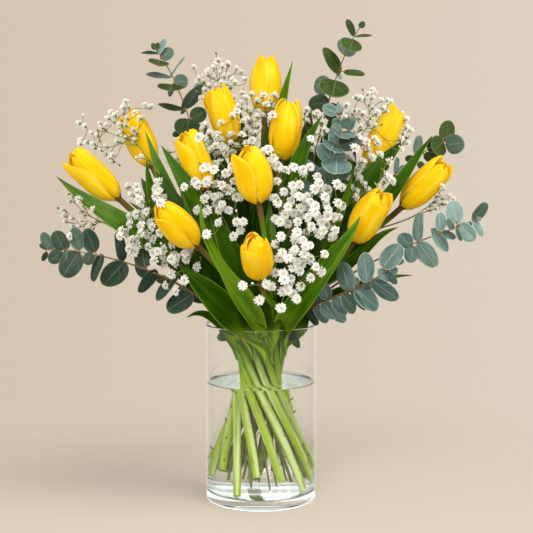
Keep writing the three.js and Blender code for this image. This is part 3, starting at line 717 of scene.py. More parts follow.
@dataclass(frozen=True)
class GumLeafFinish:
    """Round eucalyptus leaf: matt and waxy, with a pale midrib, faint side veins and a thin rim."""

    tone: Tone
    through: float = 0.14

    def build(self) -> Material:
        """Makes the material.

        Returns:
            The material.
        """
        dark, middle, pale = self.tone.value
        shade = Shade("eucalyptus_leaf_" + self.tone.name.lower())
        u, v, own = shade.grain
        wax = shade.pattern(2.2, 2.6, 71, 4, 0.62)
        specks = shade.pattern(30, 36, 19)
        slant = shade.joined((v - abs(u) * 0.35) * 15.0, own * 33.0, u * 0.6)
        veins = shade.noise(slant, 1.0, 1.0).rise(0.56, 0.72)
        rib = 1.0 - abs(u).rise(0.01, 0.07)
        tone = wax * 0.75 + specks * 0.2 + own * 0.18
        colour = shade.ramp(tone, (0.34, dark), (0.78, middle))
        for share in (veins * 0.22, rib * 0.6, shade.rim.rise(0.9, 1.0) * 0.7):
            colour = shade.mixed(share, colour, pale)
        surface = shade.surface(
            Base_Color=colour,
            Roughness=wax * 0.2 + 0.48,
            Normal=shade.bump(rib * 0.8 + veins * 0.5 + specks * 0.2, 0.3, 0.7),
            Specular_IOR_Level=0.35,
        )
        return shade.done(surface, self.through, colour)


@dataclass(frozen=True)
class BarkFinish:
    """Woody young stem of a eucalyptus branch."""

    name: str = "eucalyptus_stem"
    tan: Colour = linear(144, 112, 58)
    brown: Colour = linear(94, 72, 38)
    green: Colour = linear(96, 118, 62)

    def build(self) -> Material:
        """Makes the material.

        Returns:
            The material.
        """
        shade = Shade(self.name)
        streaks = shade.pattern(7, 7, 13, 3)
        colour = shade.ramp(streaks, (0.35, self.brown), (0.68, self.tan))
        colour = shade.mixed((1.0 - shade.height.rise(0.12, 0.2)) * 0.7, colour, self.green)
        normal = shade.bump(streaks, 0.3, 0.6)
        return shade.done(shade.surface(Base_Color=colour, Roughness=streaks * 0.2 + 0.5, Normal=normal))


@dataclass(frozen=True)
class FloretFinish:
    """Papery white petals of baby's breath round a yellow-green heart."""

    name: str = "gypsophila_petal"
    white: Colour = linear(252, 252, 248)
    # Colour of the petals' feet: painted shade between the petals.
    crease_shade: Colour = linear(186, 192, 160)
    heart: Colour = linear(176, 172, 44)
    through: float = 0.36

    def build(self) -> Material:
        """Makes the material.

        Returns:
            The material.
        """
        shade = Shade(self.name)
        _, out, own = shade.grain
        ruffle = shade.pattern(3, 7, 83)
        # Petals greyer towards their feet: painted shade in the creases between them.
        colour = shade.mixed((out + ruffle * 0.2).rise(0.14, 0.62), self.crease_shade, self.white)
        heart = (1.0 - out.rise(-0.9, -0.5)) * (own.rise(0.35, 0.65) * 0.7 + 0.3)
        surface = shade.surface(
            Base_Color=shade.mixed(heart, colour, self.heart),
            Roughness=ruffle * 0.2 + 0.6,
            Normal=shade.bump(ruffle, 0.25, 0.5),
            Specular_IOR_Level=0.3,
        )
        return shade.done(surface, self.through, self.white)


@dataclass(frozen=True)
class TwigFinish:
    """Thin wiry green twigs and cups of baby's breath."""

    name: str = "gypsophila_twig"
    green: Colour = linear(124, 132, 42)
    brown: Colour = linear(88, 88, 32)

    def build(self) -> Material:
        """Makes the material.

        Returns:
            The material.
        """
        shade = Shade(self.name)
        patches = shade.pattern(2, 9, 27)
        colour = shade.ramp(patches, (0.36, self.brown), (0.6, self.green))
        normal = shade.bump(patches, 0.1, 0.5)
        return shade.done(shade.surface(Base_Color=colour, Roughness=patches * 0.2 + 0.45, Normal=normal))


class Clear(Enum):
    """The clear things: name, tint, how they bend light, how much painted shade greys the edge, depth of
    their waves.
    """

    GLASS = ("vase_glass", (0.975, 0.99, 0.985), 1.47, 0.9, 0.6)
    WATER = ("vase_water", (0.985, 0.998, 0.99), 1.333, 0.5, 0.25)

    def build(self) -> Material:
        """Makes the material, which lets the lamps reach what it holds.

        Returns:
            The material.
        """
        name, tint, bend, edge, waves = self.value
        shade = Shade(name)
        facing = shade.node("LayerWeight", {}, {"Blend": 0.5}, "Facing")
        # Grey-blue towards grazing angles is painted shade: dark outlines at the edges of glass and water.
        surface = shade.surface(
            Base_Color=shade.mixed(facing.rise(0.72, 1.0) * edge, tint, (0.40, 0.49, 0.53)),
            Roughness=0.0,
            Transmission_Weight=1.0,
            IOR=bend,
            Normal=shade.bump(shade.noise(shade.place, 9.0, 1.0), waves, 0.35),
        )
        open_air = shade.node("BsdfTransparent", {}, {"Color": tint})
        path = shade.node("LightPath", {}, {}, "Is Shadow Ray")
        return shade.done(shade.either(path.most(path.also("Is Diffuse Ray")), surface, open_air))


@dataclass(frozen=True)
class FloorFinish:
    """Matt studio paper that runs out softly into the backdrop."""

    name: str = "studio_paper"
    paper: Colour = (0.53, 0.458, 0.38)
    near: float = 0.08
    far: float = 0.62

    def build(self) -> Material:
        """Makes the material.

        Returns:
            The material.
        """
        shade = Shade(self.name)
        x, y, _ = shade.split(shade.place)
        flecks = shade.noise(shade.place, 260.0, 3.0) * 0.05 + shade.noise(shade.place, 3.0, 1.0) * 0.05
        colour = shade.mixed(flecks, self.paper, (1.0, 1.0, 1.0))
        paper = shade.surface(Base_Color=colour, Roughness=0.9, Specular_IOR_Level=0.2)
        path = shade.node("LightPath", {}, {}, "Is Reflection Ray")
        mirrored = path - path.also("Is Diffuse Ray")
        away = ((x * x + y * y) ** 0.5).rise(self.near, self.far).most(mirrored)
        return shade.done(shade.either(away, paper, shade.node("BsdfTransparent")))


# ------ the arrangement


class Strand(Enum):
    """The three kinds of stem: radius of their ring at the waist and at the feet, and stem radius."""

    TULIP = (19.5, 50.0, 3.7)
    EUCALYPTUS = (12.8, 36.0, 1.5)
    SPRAY = (8.8, 24.0, 0.9)

    @property
    def radius(self) -> float:
        """Radius of such a stem."""
        return self.value[2]


@dataclass(frozen=True)
class StemPath:
    """The centre line of a stem: straight from its foot to the waist, and then a bend."""

    foot: Array
    bend: Cubic

    def line(self, straight: int, bent: int) -> Array:
        """So many points from the foot to the waist, and so many on the bend."""
        low = blend(self.foot, self.bend.a, np.linspace(0, 1, straight, endpoint=False)[:, None])
        return np.concatenate([low, self.bend.at(np.linspace(0, 1, bent))])

    def share_at(self, height: float) -> float:
        """Where the bend reaches a height.

        Args:
            height: The height.

        Returns:
            The share of the bend.
        """
        low, high = 0.0, 1.0
        for _ in range(30):
            middle = (low + high) / 2
            low, high = (middle, high) if self.bend.at(middle)[2] < height else (low, middle)
        return low


def spiral(strand: Strand, slot: float, foot_rise: float) -> tuple[Array, Array, Array]:
    """The straight part of a stem, one of the rulings of the tied spiral.

    Args:
        strand: Kind of stem.
        slot: Angle at which the stem leaves the bunch, in degrees from +X, seen from above.
        foot_rise: Height of its foot above FOOT_Z.

    Returns:
        Its foot, its place at the waist and its direction there.
    """
    lead = 82  # degrees that the stem turns on from its slot
    waist_radius, foot_radius, _ = strand.value
    angle = math.radians(slot + lead)
    waist = vec(waist_radius * math.cos(angle), waist_radius * math.sin(angle), WAIST_Z)
    run = math.sqrt(foot_radius**2 - waist_radius**2)
    up = unit(vec(run * math.sin(angle), -run * math.cos(angle), WAIST_Z - FOOT_Z))
    return waist - up * (WAIST_Z - FOOT_Z - foot_rise) / up[2], waist, up


@dataclass(frozen=True)
class Blade:
    """A tulip leaf: height of its root, two points that its midrib passes, tip, width and outlook.

    Attributes:
        slim: Share of the width that its upper half lacks.
        pale: How much lighter or darker than the others its green is drawn.
        shaded: True for a leaf inside the bunch, drawn in the darker leaf finish as painted shade.
    """

    root: float
    first: Point
    second: Point
    tip: Point
    width: float
    face: Point = (0.1, -0.9, 0.3)
    slim: float = 0.0
    pale: float = 0.0
    shaded: bool = False


@dataclass(frozen=True)
class Top:
    """How a petal ends.

    Attributes:
        height: Height of its tip, as a share of the bloom's.
        out: Distance of its tip from the axis, as a share of the bloom's radius.
        blunt: 0 where it is drawn out to a point, 1 where it is round.
    """

    height: float
    out: float
    blunt: float = 0.0


@dataclass(frozen=True)
class TulipSpec:
    """One tulip: where its stem leaves the bunch, its bloom, its leaves and its outer petals' tips."""

    name: str
    slot: float
    rise: float
    base: Point
    tip: Point
    width: float
    spin: float
    blades: tuple[Blade, ...]
    tops: tuple[Top, Top, Top]

    @property
    def axis(self) -> Array:
        """The way the bloom points."""
        return unit(vec(*self.tip) - vec(*self.base))

    @property
    def length(self) -> float:
        """Height of the bloom."""
        return math.dist(self.base, self.tip)


TULIPS = (
    TulipSpec("tulip_01", -179, 96, (-152, -25, 334), (-200, -45, 381), 33, 90, (
        Blade(205, (-108, -44, 280), (-163, -54, 321), (-211, -60, 358), 32, (0.3, -0.7, 0.6)),
        Blade(225, (-92, -34, 287), (-112, -36, 332), (-120, -40, 374), 19, (0.2, -0.95, 0.1)),
    ), (Top(0.97, 0.6), Top(0.99, 0.72), Top(1.0, 0.7))),
    TulipSpec("tulip_02", 152, 90, (-121, 45, 365), (-149, 55, 425), 34, 75, (
        Blade(230, (-92, 8, 318), (-110, 10, 362), (-126, 18, 405), 18, (0.3, -0.9, 0.2)),
        Blade(205, (-72, 45, 250), (-112, 72, 292), (-152, 92, 322), 30, (0.5, -0.4, 0.8)),
        Blade(158, (-36, -10, 184), (-56, -14, 205), (-80, -18, 204), 20, (0.1, -0.5, 0.8)),
    ), (Top(0.97, 0.6), Top(0.98, 0.6), Top(1.0, 0.55))),
    TulipSpec("tulip_03", -151, 80, (-57, -45, 344), (-79, -60, 405), 32, 90, (
        Blade(205, (-52, -52, 300), (-78, -62, 352), (-103, -52, 390), 24, (-0.3, -0.9, 0.3)),
        Blade(180, (-38, -26, 246), (-64, -22, 300), (-84, -14, 342), 32, (0.2, -0.9, 0.4)),
    ), (Top(0.96, 0.5), Top(0.93, 0.68), Top(1.0, 0.64))),
    TulipSpec("tulip_04", 120, 114, (-32, 15, 391), (-50, 10, 452), 33.5, 5, (
        Blade(225, (-48, 36, 292), (-66, 52, 342), (-84, 62, 388), 24, (0.4, 0.7, 0.5)),
    ), (Top(1.0, 0.6), Top(0.9, 0.8), Top(0.95, 0.4))),
    TulipSpec("tulip_05", 92, 63, (4, 60, 422), (5, 75, 487), 37, 95, (
        Blade(265, (14, 52, 385), (25, 50, 440), (35, 50, 480), 16, (-0.5, -0.8, 0.2)),
        Blade(205, (-4, 72, 270), (-10, 104, 325), (-14, 126, 372), 30, (0, 0.8, 0.5)),
    ), (Top(0.96, 0.4), Top(1.0, 0.38), Top(0.99, 0.43))),
    TulipSpec("tulip_06", -26, 85, (22, -30, 375), (31, -35, 438), 35.5, 25, (
        Blade(235, (30, -46, 330), (43, -60, 383), (64, -62, 422), 21, (-0.4, -0.9, 0.1)),
    ), (Top(1.0, 0.5), Top(0.98, 0.5), Top(0.96, 0.35))),
    TulipSpec("tulip_07", -93, 124, (-2, -85, 333), (-13, -100, 390), 39.5, 90, (
        Blade(180, (-18, -54, 243), (-36, -60, 288), (-56, -62, 328), 30, (0.3, -0.9, 0.3)),
        Blade(215, (8, -62, 268), (9, -64, 302), (9, -62, 334), 17, (0.1, -1, 0.1)),
    ), (Top(0.97, 0.5), Top(0.96, 0.8), Top(1.0, 0.35))),
    TulipSpec("tulip_08", -120, 110, (-66, -85, 290), (-103, -115, 332), 34, 95, (
        Blade(165, (-14, -74, 224), (-47, -108, 284), (-58, -118, 338), 24, (0.3, -0.95, 0.2), 0.45, 1.2),
        Blade(158, (-30, -50, 206), (-58, -66, 240), (-84, -74, 268), 38, (0.4, -0.8, 0.5), pale=-1.0),
    ), (Top(0.95, 0.5, 0.4), Top(0.88, 0.5, 0.7), Top(1.0, 0.52))),
    TulipSpec("tulip_09", -53, 125, (-1, -97, 258), (-7, -130, 303), 33.5, 95, (
        Blade(160, (34, -62, 214), (68, -106, 271), (100, -114, 321), 31, (-0.5, -0.85, 0.25)),
    ), (Top(0.99, 0.34, 0.9), Top(0.82, 0.6, 1.0), Top(0.9, 0.52, 0.9))),
    TulipSpec("tulip_10", 65, 102, (117, 35, 366), (153, 50, 430), 33.5, 100, (
        Blade(262, (110, 18, 338), (134, 20, 370), (162, 20, 398), 27, (-0.5, -0.85, 0.2)),
        Blade(205, (58, 58, 262), (96, 86, 310), (128, 102, 352), 30, (-0.3, 0.6, 0.7)),
    ), (Top(0.95, 0.5), Top(1.0, 0.62), Top(0.93, 0.55))),
    TulipSpec("tulip_11", 9, 125, (97, -75, 293), (124, -105, 345), 34.5, 40, (
        Blade(222, (88, -43, 256), (114, -64, 287), (142, -70, 306), 26, (-0.4, -0.5, 0.8)),
        Blade(240, (72, -50, 290), (85, -68, 328), (94, -74, 366), 13, (-0.5, -0.85, 0.1)),
    ), (Top(0.94, 0.7), Top(1.0, 0.4, 0.5), Top(0.86, 0.55, 0.9))),
    TulipSpec("tulip_12", 38, 114, (151, -25, 325), (196, -45, 371), 33, 40, (
        Blade(275, (122, -34, 315), (150, -44, 358), (180, -36, 400), 21, (-0.6, -0.75, 0.3)),
        Blade(203, (76, 16, 221), (120, 2, 240), (164, -10, 249), 22, (-0.2, -0.4, 0.9)),
    ), (Top(0.97, 0.66), Top(1.0, 0.68), Top(0.92, 0.5, 0.8))),
)


#: Leaves that close the gaps inside the bunch, dark as painted shade: root, two points on the way, tip and
#: width.
SHADE_BACKING: dict[str, tuple[tuple[float, Point, Point, Point, float], ...]] = {
    "tulip_01": (
        (190, (-60, -14, 240), (-100, -20, 280), (-128, -24, 318), 36),
        (190, (-70, -8, 250), (-104, -4, 300), (-124, 2, 350), 42),
    ),
    "tulip_02": (
        (200, (-44, 16, 250), (-82, 30, 300), (-112, 42, 350), 40),
        (200, (-36, 10, 256), (-66, 20, 320), (-88, 30, 392), 42),
        (200, (-60, 10, 270), (-100, 22, 314), (-132, 34, 352), 42),
    ),
    "tulip_03": (
        (190, (-30, -14, 250), (-58, -10, 310), (-76, -4, 372), 42),
        (190, (-60, -20, 270), (-90, -12, 318), (-108, -4, 362), 40),
    ),
    "tulip_04": (
        (205, (-10, 20, 270), (-16, 28, 350), (-22, 30, 424), 46),
        (205, (-24, 24, 280), (-44, 32, 350), (-62, 36, 410), 44),
    ),
    "tulip_05": (
        (215, (6, 30, 280), (12, 40, 360), (20, 44, 436), 46),
        (200, (-8, 34, 280), (-20, 44, 360), (-30, 48, 428), 44),
    ),
    "tulip_06": (
        (215, (24, -4, 280), (40, 6, 352), (54, 14, 430), 46),
        (215, (14, 0, 280), (22, 10, 350), (28, 18, 420), 42),
    ),
    "tulip_07": ((190, (6, -30, 240), (10, -34, 300), (12, -36, 350), 40),),
    "tulip_08": ((165, (-30, -30, 215), (-66, -40, 262), (-100, -48, 300), 38),),
    "tulip_09": ((160, (-6, -40, 205), (-10, -62, 250), (-4, -72, 292), 38),),
    "tulip_10": (
        (205, (40, 20, 262), (62, 30, 340), (78, 36, 424), 46),
        (210, (60, 24, 262), (88, 34, 324), (104, 42, 392), 42),
    ),
    "tulip_11": ((190, (36, -30, 240), (70, -40, 290), (96, -44, 330), 36),),
    "tulip_12": ((190, (60, -4, 245), (100, -10, 285), (136, -14, 318), 34),),
}


@dataclass(frozen=True)
class Leaf:
    """A gum leaf as it is seen from the front: its root, its tip and how wide it looks."""

    x: float
    z: float
    tip_x: float
    tip_z: float
    width: float
    tone: Optional[Tone] = None
    away: bool = False


@dataclass(frozen=True)
class BranchSpec:
    """One eucalyptus branch: its stem, and its leaves, stated singly or as opposite pairs."""

    name: str
    slot: float
    rise: float
    middle: Point
    tip: Point
    tone: Tone
    leaves: tuple[Leaf, ...] = ()
    pairs: int = 0


BRANCHES = (
    BranchSpec("eucalyptus_01", -153, 133, (-120, -65, 262), (-226, -62, 283), Tone.SLATE, (
        Leaf(-216, 283, -227, 300, 14, Tone.ASH), Leaf(-203, 283, -211, 303, 18),
        Leaf(-222, 280, -226, 270, 5), Leaf(-214, 282, -217, 270, 6, Tone.ASH),
        Leaf(-205, 282, -217, 271, 15), Leaf(-200, 283, -203, 272, 7, Tone.ASH),
        Leaf(-200, 284, -198, 293, 6), Leaf(-186, 283, -193, 307, 13, Tone.ASH),
        Leaf(-170, 281, -180, 305, 19), Leaf(-187, 281, -204, 256, 24), Leaf(-172, 280, -180, 270, 13),
        Leaf(-163, 279, -174, 251, 12), Leaf(-141, 271, -163, 245, 24), Leaf(-141, 271, -146, 302, 9),
        Leaf(-119, 263, -134, 256, 20, away=True), Leaf(-120, 264, -124, 282, 20, away=True),
        Leaf(-110, 262, -127, 237, 13), Leaf(-86, 255, -110, 229, 11),
        Leaf(-97, 250, -110, 250, 10, Tone.DEEP, True), Leaf(-72, 233, -99, 217, 20),
        Leaf(-72, 235, -68, 243, 14, Tone.DEEP, True), Leaf(-222, 284, -229, 288, 5),
        Leaf(-29, 194, -45, 181, 13),
    )),
    BranchSpec("eucalyptus_02", 178, 166, (-64, 36, 366), (-118, 60, 496), Tone.OLIVE, (
        Leaf(-115, 488, -106, 506, 9, Tone.SILVER), Leaf(-114, 488, -133, 490, 4, Tone.DEEP),
        Leaf(-111, 483, -98, 494, 14, Tone.ASH), Leaf(-112, 482, -114, 473, 24),
        Leaf(-101, 463, -83, 486, 4, Tone.SILVER), Leaf(-101, 462, -128, 466, 6.5, Tone.ASH),
        Leaf(-97, 458, -80, 458, 17, Tone.ASH, True), Leaf(-99, 454, -100, 443, 30),
        Leaf(-99, 455, -102, 441, 6, Tone.SILVER, True), Leaf(-86, 427, -65, 455, 13, Tone.ASH),
        Leaf(-86, 427, -115, 430, 7, Tone.DEEP), Leaf(-84, 427, -89, 422, 4, Tone.DEEP),
        Leaf(-79, 417, -82, 401, 30, Tone.DEEP), Leaf(-78, 417, -62, 425, 18, Tone.DEEP, True),
        Leaf(-90, 402, -98, 398, 7, Tone.DEEP), Leaf(-117, 493, -121, 500, 6),
        Leaf(-117, 493, -114, 501, 5),
    )),
    BranchSpec("eucalyptus_03", 17, 184, (61, 28, 386), (109, 40, 517), Tone.OLIVE, (
        Leaf(108, 516, 113, 522, 7), Leaf(102, 507, 94, 525, 9), Leaf(103, 506, 122, 509, 4),
        Leaf(101, 504, 95, 489, 25), Leaf(99, 500, 88, 488, 24, Tone.SILVER, True),
        Leaf(87, 466, 70, 495, 15), Leaf(91, 468, 114, 468, 8), Leaf(85, 465, 88, 460, 5, Tone.SILVER),
        Leaf(76, 452, 57, 455, 22, Tone.ASH, True), Leaf(82, 460, 76, 438, 34),
        Leaf(75, 435, 52, 432, 20, Tone.DEEP, True), Leaf(70, 428, 88, 420, 20, Tone.DEEP, True),
    )),
    BranchSpec("eucalyptus_04", -118, 199, (47, -58, 329), (80, -60, 423), Tone.BLUE, (
        Leaf(79, 423, 64, 430, 12.5, Tone.SILVER), Leaf(82, 423, 81, 433, 6.5, Tone.SILVER),
        Leaf(78, 425, 79.5, 435, 3), Leaf(81, 411, 74, 417, 9), Leaf(83, 404, 73, 410, 11),
        Leaf(82, 409, 93, 417, 10, Tone.ASH), Leaf(90, 405, 96, 419, 8), Leaf(84, 401, 82, 396, 17),
        Leaf(84, 402, 98, 401, 6.5), Leaf(78, 390, 72, 403, 11), Leaf(79, 389, 103, 396, 16, Tone.SLATE),
        Leaf(75, 392, 71, 385, 25), Leaf(73, 375, 60, 391, 17), Leaf(75, 376, 88, 381, 11),
        Leaf(78, 375, 77, 367, 32), Leaf(67, 359, 93, 364, 17, Tone.ASH), Leaf(67, 360, 62, 367, 9),
        Leaf(66, 359, 49, 376, 5), Leaf(66, 359, 72, 350, 5), Leaf(67, 357, 66, 348, 8, Tone.SLATE),
        Leaf(60, 345, 73, 336, 14, Tone.ASH), Leaf(56, 343, 38, 352, 12, Tone.ASH),
    )),
    BranchSpec("eucalyptus_05", 57, 161, (125, 40, 335), (207, 70, 396), Tone.OLIVE, (
        Leaf(208, 391, 211, 415, 17), Leaf(206, 387, 226, 391, 23, Tone.ASH), Leaf(205, 391, 192, 384, 24),
        Leaf(204, 390, 190, 383, 22, Tone.DEEP, True), Leaf(174, 376, 176, 399, 9.5, Tone.SILVER),
        Leaf(181, 377, 197, 371, 12, Tone.DEEP), Leaf(171, 372, 160, 373, 8.5, Tone.DEEP),
        Leaf(149, 356, 151, 375, 7.5, Tone.SILVER), Leaf(151, 359, 164, 366, 6, Tone.SILVER),
        Leaf(175, 369, 180, 362, 8, Tone.DEEP), Leaf(147, 353, 153, 349, 8, Tone.DEEP),
    )),
    BranchSpec("eucalyptus_06", -7, 115, (68, -68, 230), (140, -84, 271), Tone.BLUE, (
        Leaf(124, 267, 143, 290, 20), Leaf(108, 252, 104, 283, 19), Leaf(91, 242, 82, 271, 18),
        Leaf(93, 244, 106, 222, 8, Tone.ASH), Leaf(96, 245, 121, 224, 19),
        Leaf(99, 249, 95, 257, 8, Tone.ASH, True), Leaf(108, 252, 115, 243, 14, Tone.ASH, True),
        Leaf(113, 255, 140, 235, 18), Leaf(119, 265, 130, 252, 9), Leaf(129, 264, 139, 250, 8),
        Leaf(131, 267, 140, 261, 9), Leaf(137, 269, 139, 276, 7), Leaf(74, 233, 90, 216, 13),
        Leaf(72, 222, 88, 207, 14), Leaf(139, 270, 147, 274, 6), Leaf(70, 231, 63, 249, 14),
        Leaf(62, 226, 52, 240, 11, Tone.ASH, True), Leaf(64, 227, 80, 211, 17),
        Leaf(56, 221, 72, 205, 13, Tone.ASH), Leaf(50, 216, 60, 200, 10, Tone.SLATE),
        Leaf(84, 239, 98, 219, 14, Tone.ASH, True), Leaf(31, 192, 39, 170, 10, Tone.SLATE),
    )),
    BranchSpec("eucalyptus_07", -29, 139, (125, -38, 270), (226, -60, 315), Tone.SILVER, (
        Leaf(158, 285, 145, 296, 17, Tone.BLUE), Leaf(159, 285, 157, 267, 16, Tone.BLUE),
        Leaf(165, 289, 166, 321, 9.5), Leaf(165, 289, 184, 263, 19), Leaf(178, 303, 196, 279, 14),
        Leaf(187, 301, 186, 321, 13), Leaf(204, 309, 199, 333, 18), Leaf(201, 303, 193, 313, 8, Tone.ASH),
        Leaf(189, 300, 204, 294, 8, Tone.ASH), Leaf(206, 309, 222, 291, 17),
        Leaf(204, 307, 211, 291, 8, Tone.ASH), Leaf(221, 313, 234, 331, 14, Tone.ASH),
        Leaf(219, 314, 232, 296, 9), Leaf(224, 314, 229, 314, 5), Leaf(219, 313, 218, 304, 4),
        Leaf(146, 278, 136, 268, 12, Tone.ASH, True),
    )),
    BranchSpec("eucalyptus_08", 103, 109, (28, 86, 290), (60, 158, 352), Tone.OLIVE, (), 6),
    BranchSpec("eucalyptus_09", 155, 109, (-86, 48, 250), (-140, 120, 300), Tone.SLATE, (), 6),
)


@dataclass(frozen=True)
class SpraySpec:
    """One spray of baby's breath: its stem, the middle of its cloud and its florets.

    Attributes:
        reach: Distance from the hub, where the stem forks, to the middle of the cloud.
        others: Number of florets spread round the head besides those that show at the front.
        size: Radius of a floret.
        seen: Across and height of the florets that show at the front, in the plane of the head.
    """

    name: str
    slot: float
    rise: float
    head: Point
    reach: float
    others: int
    size: float = 5.4
    seen: Table = ()


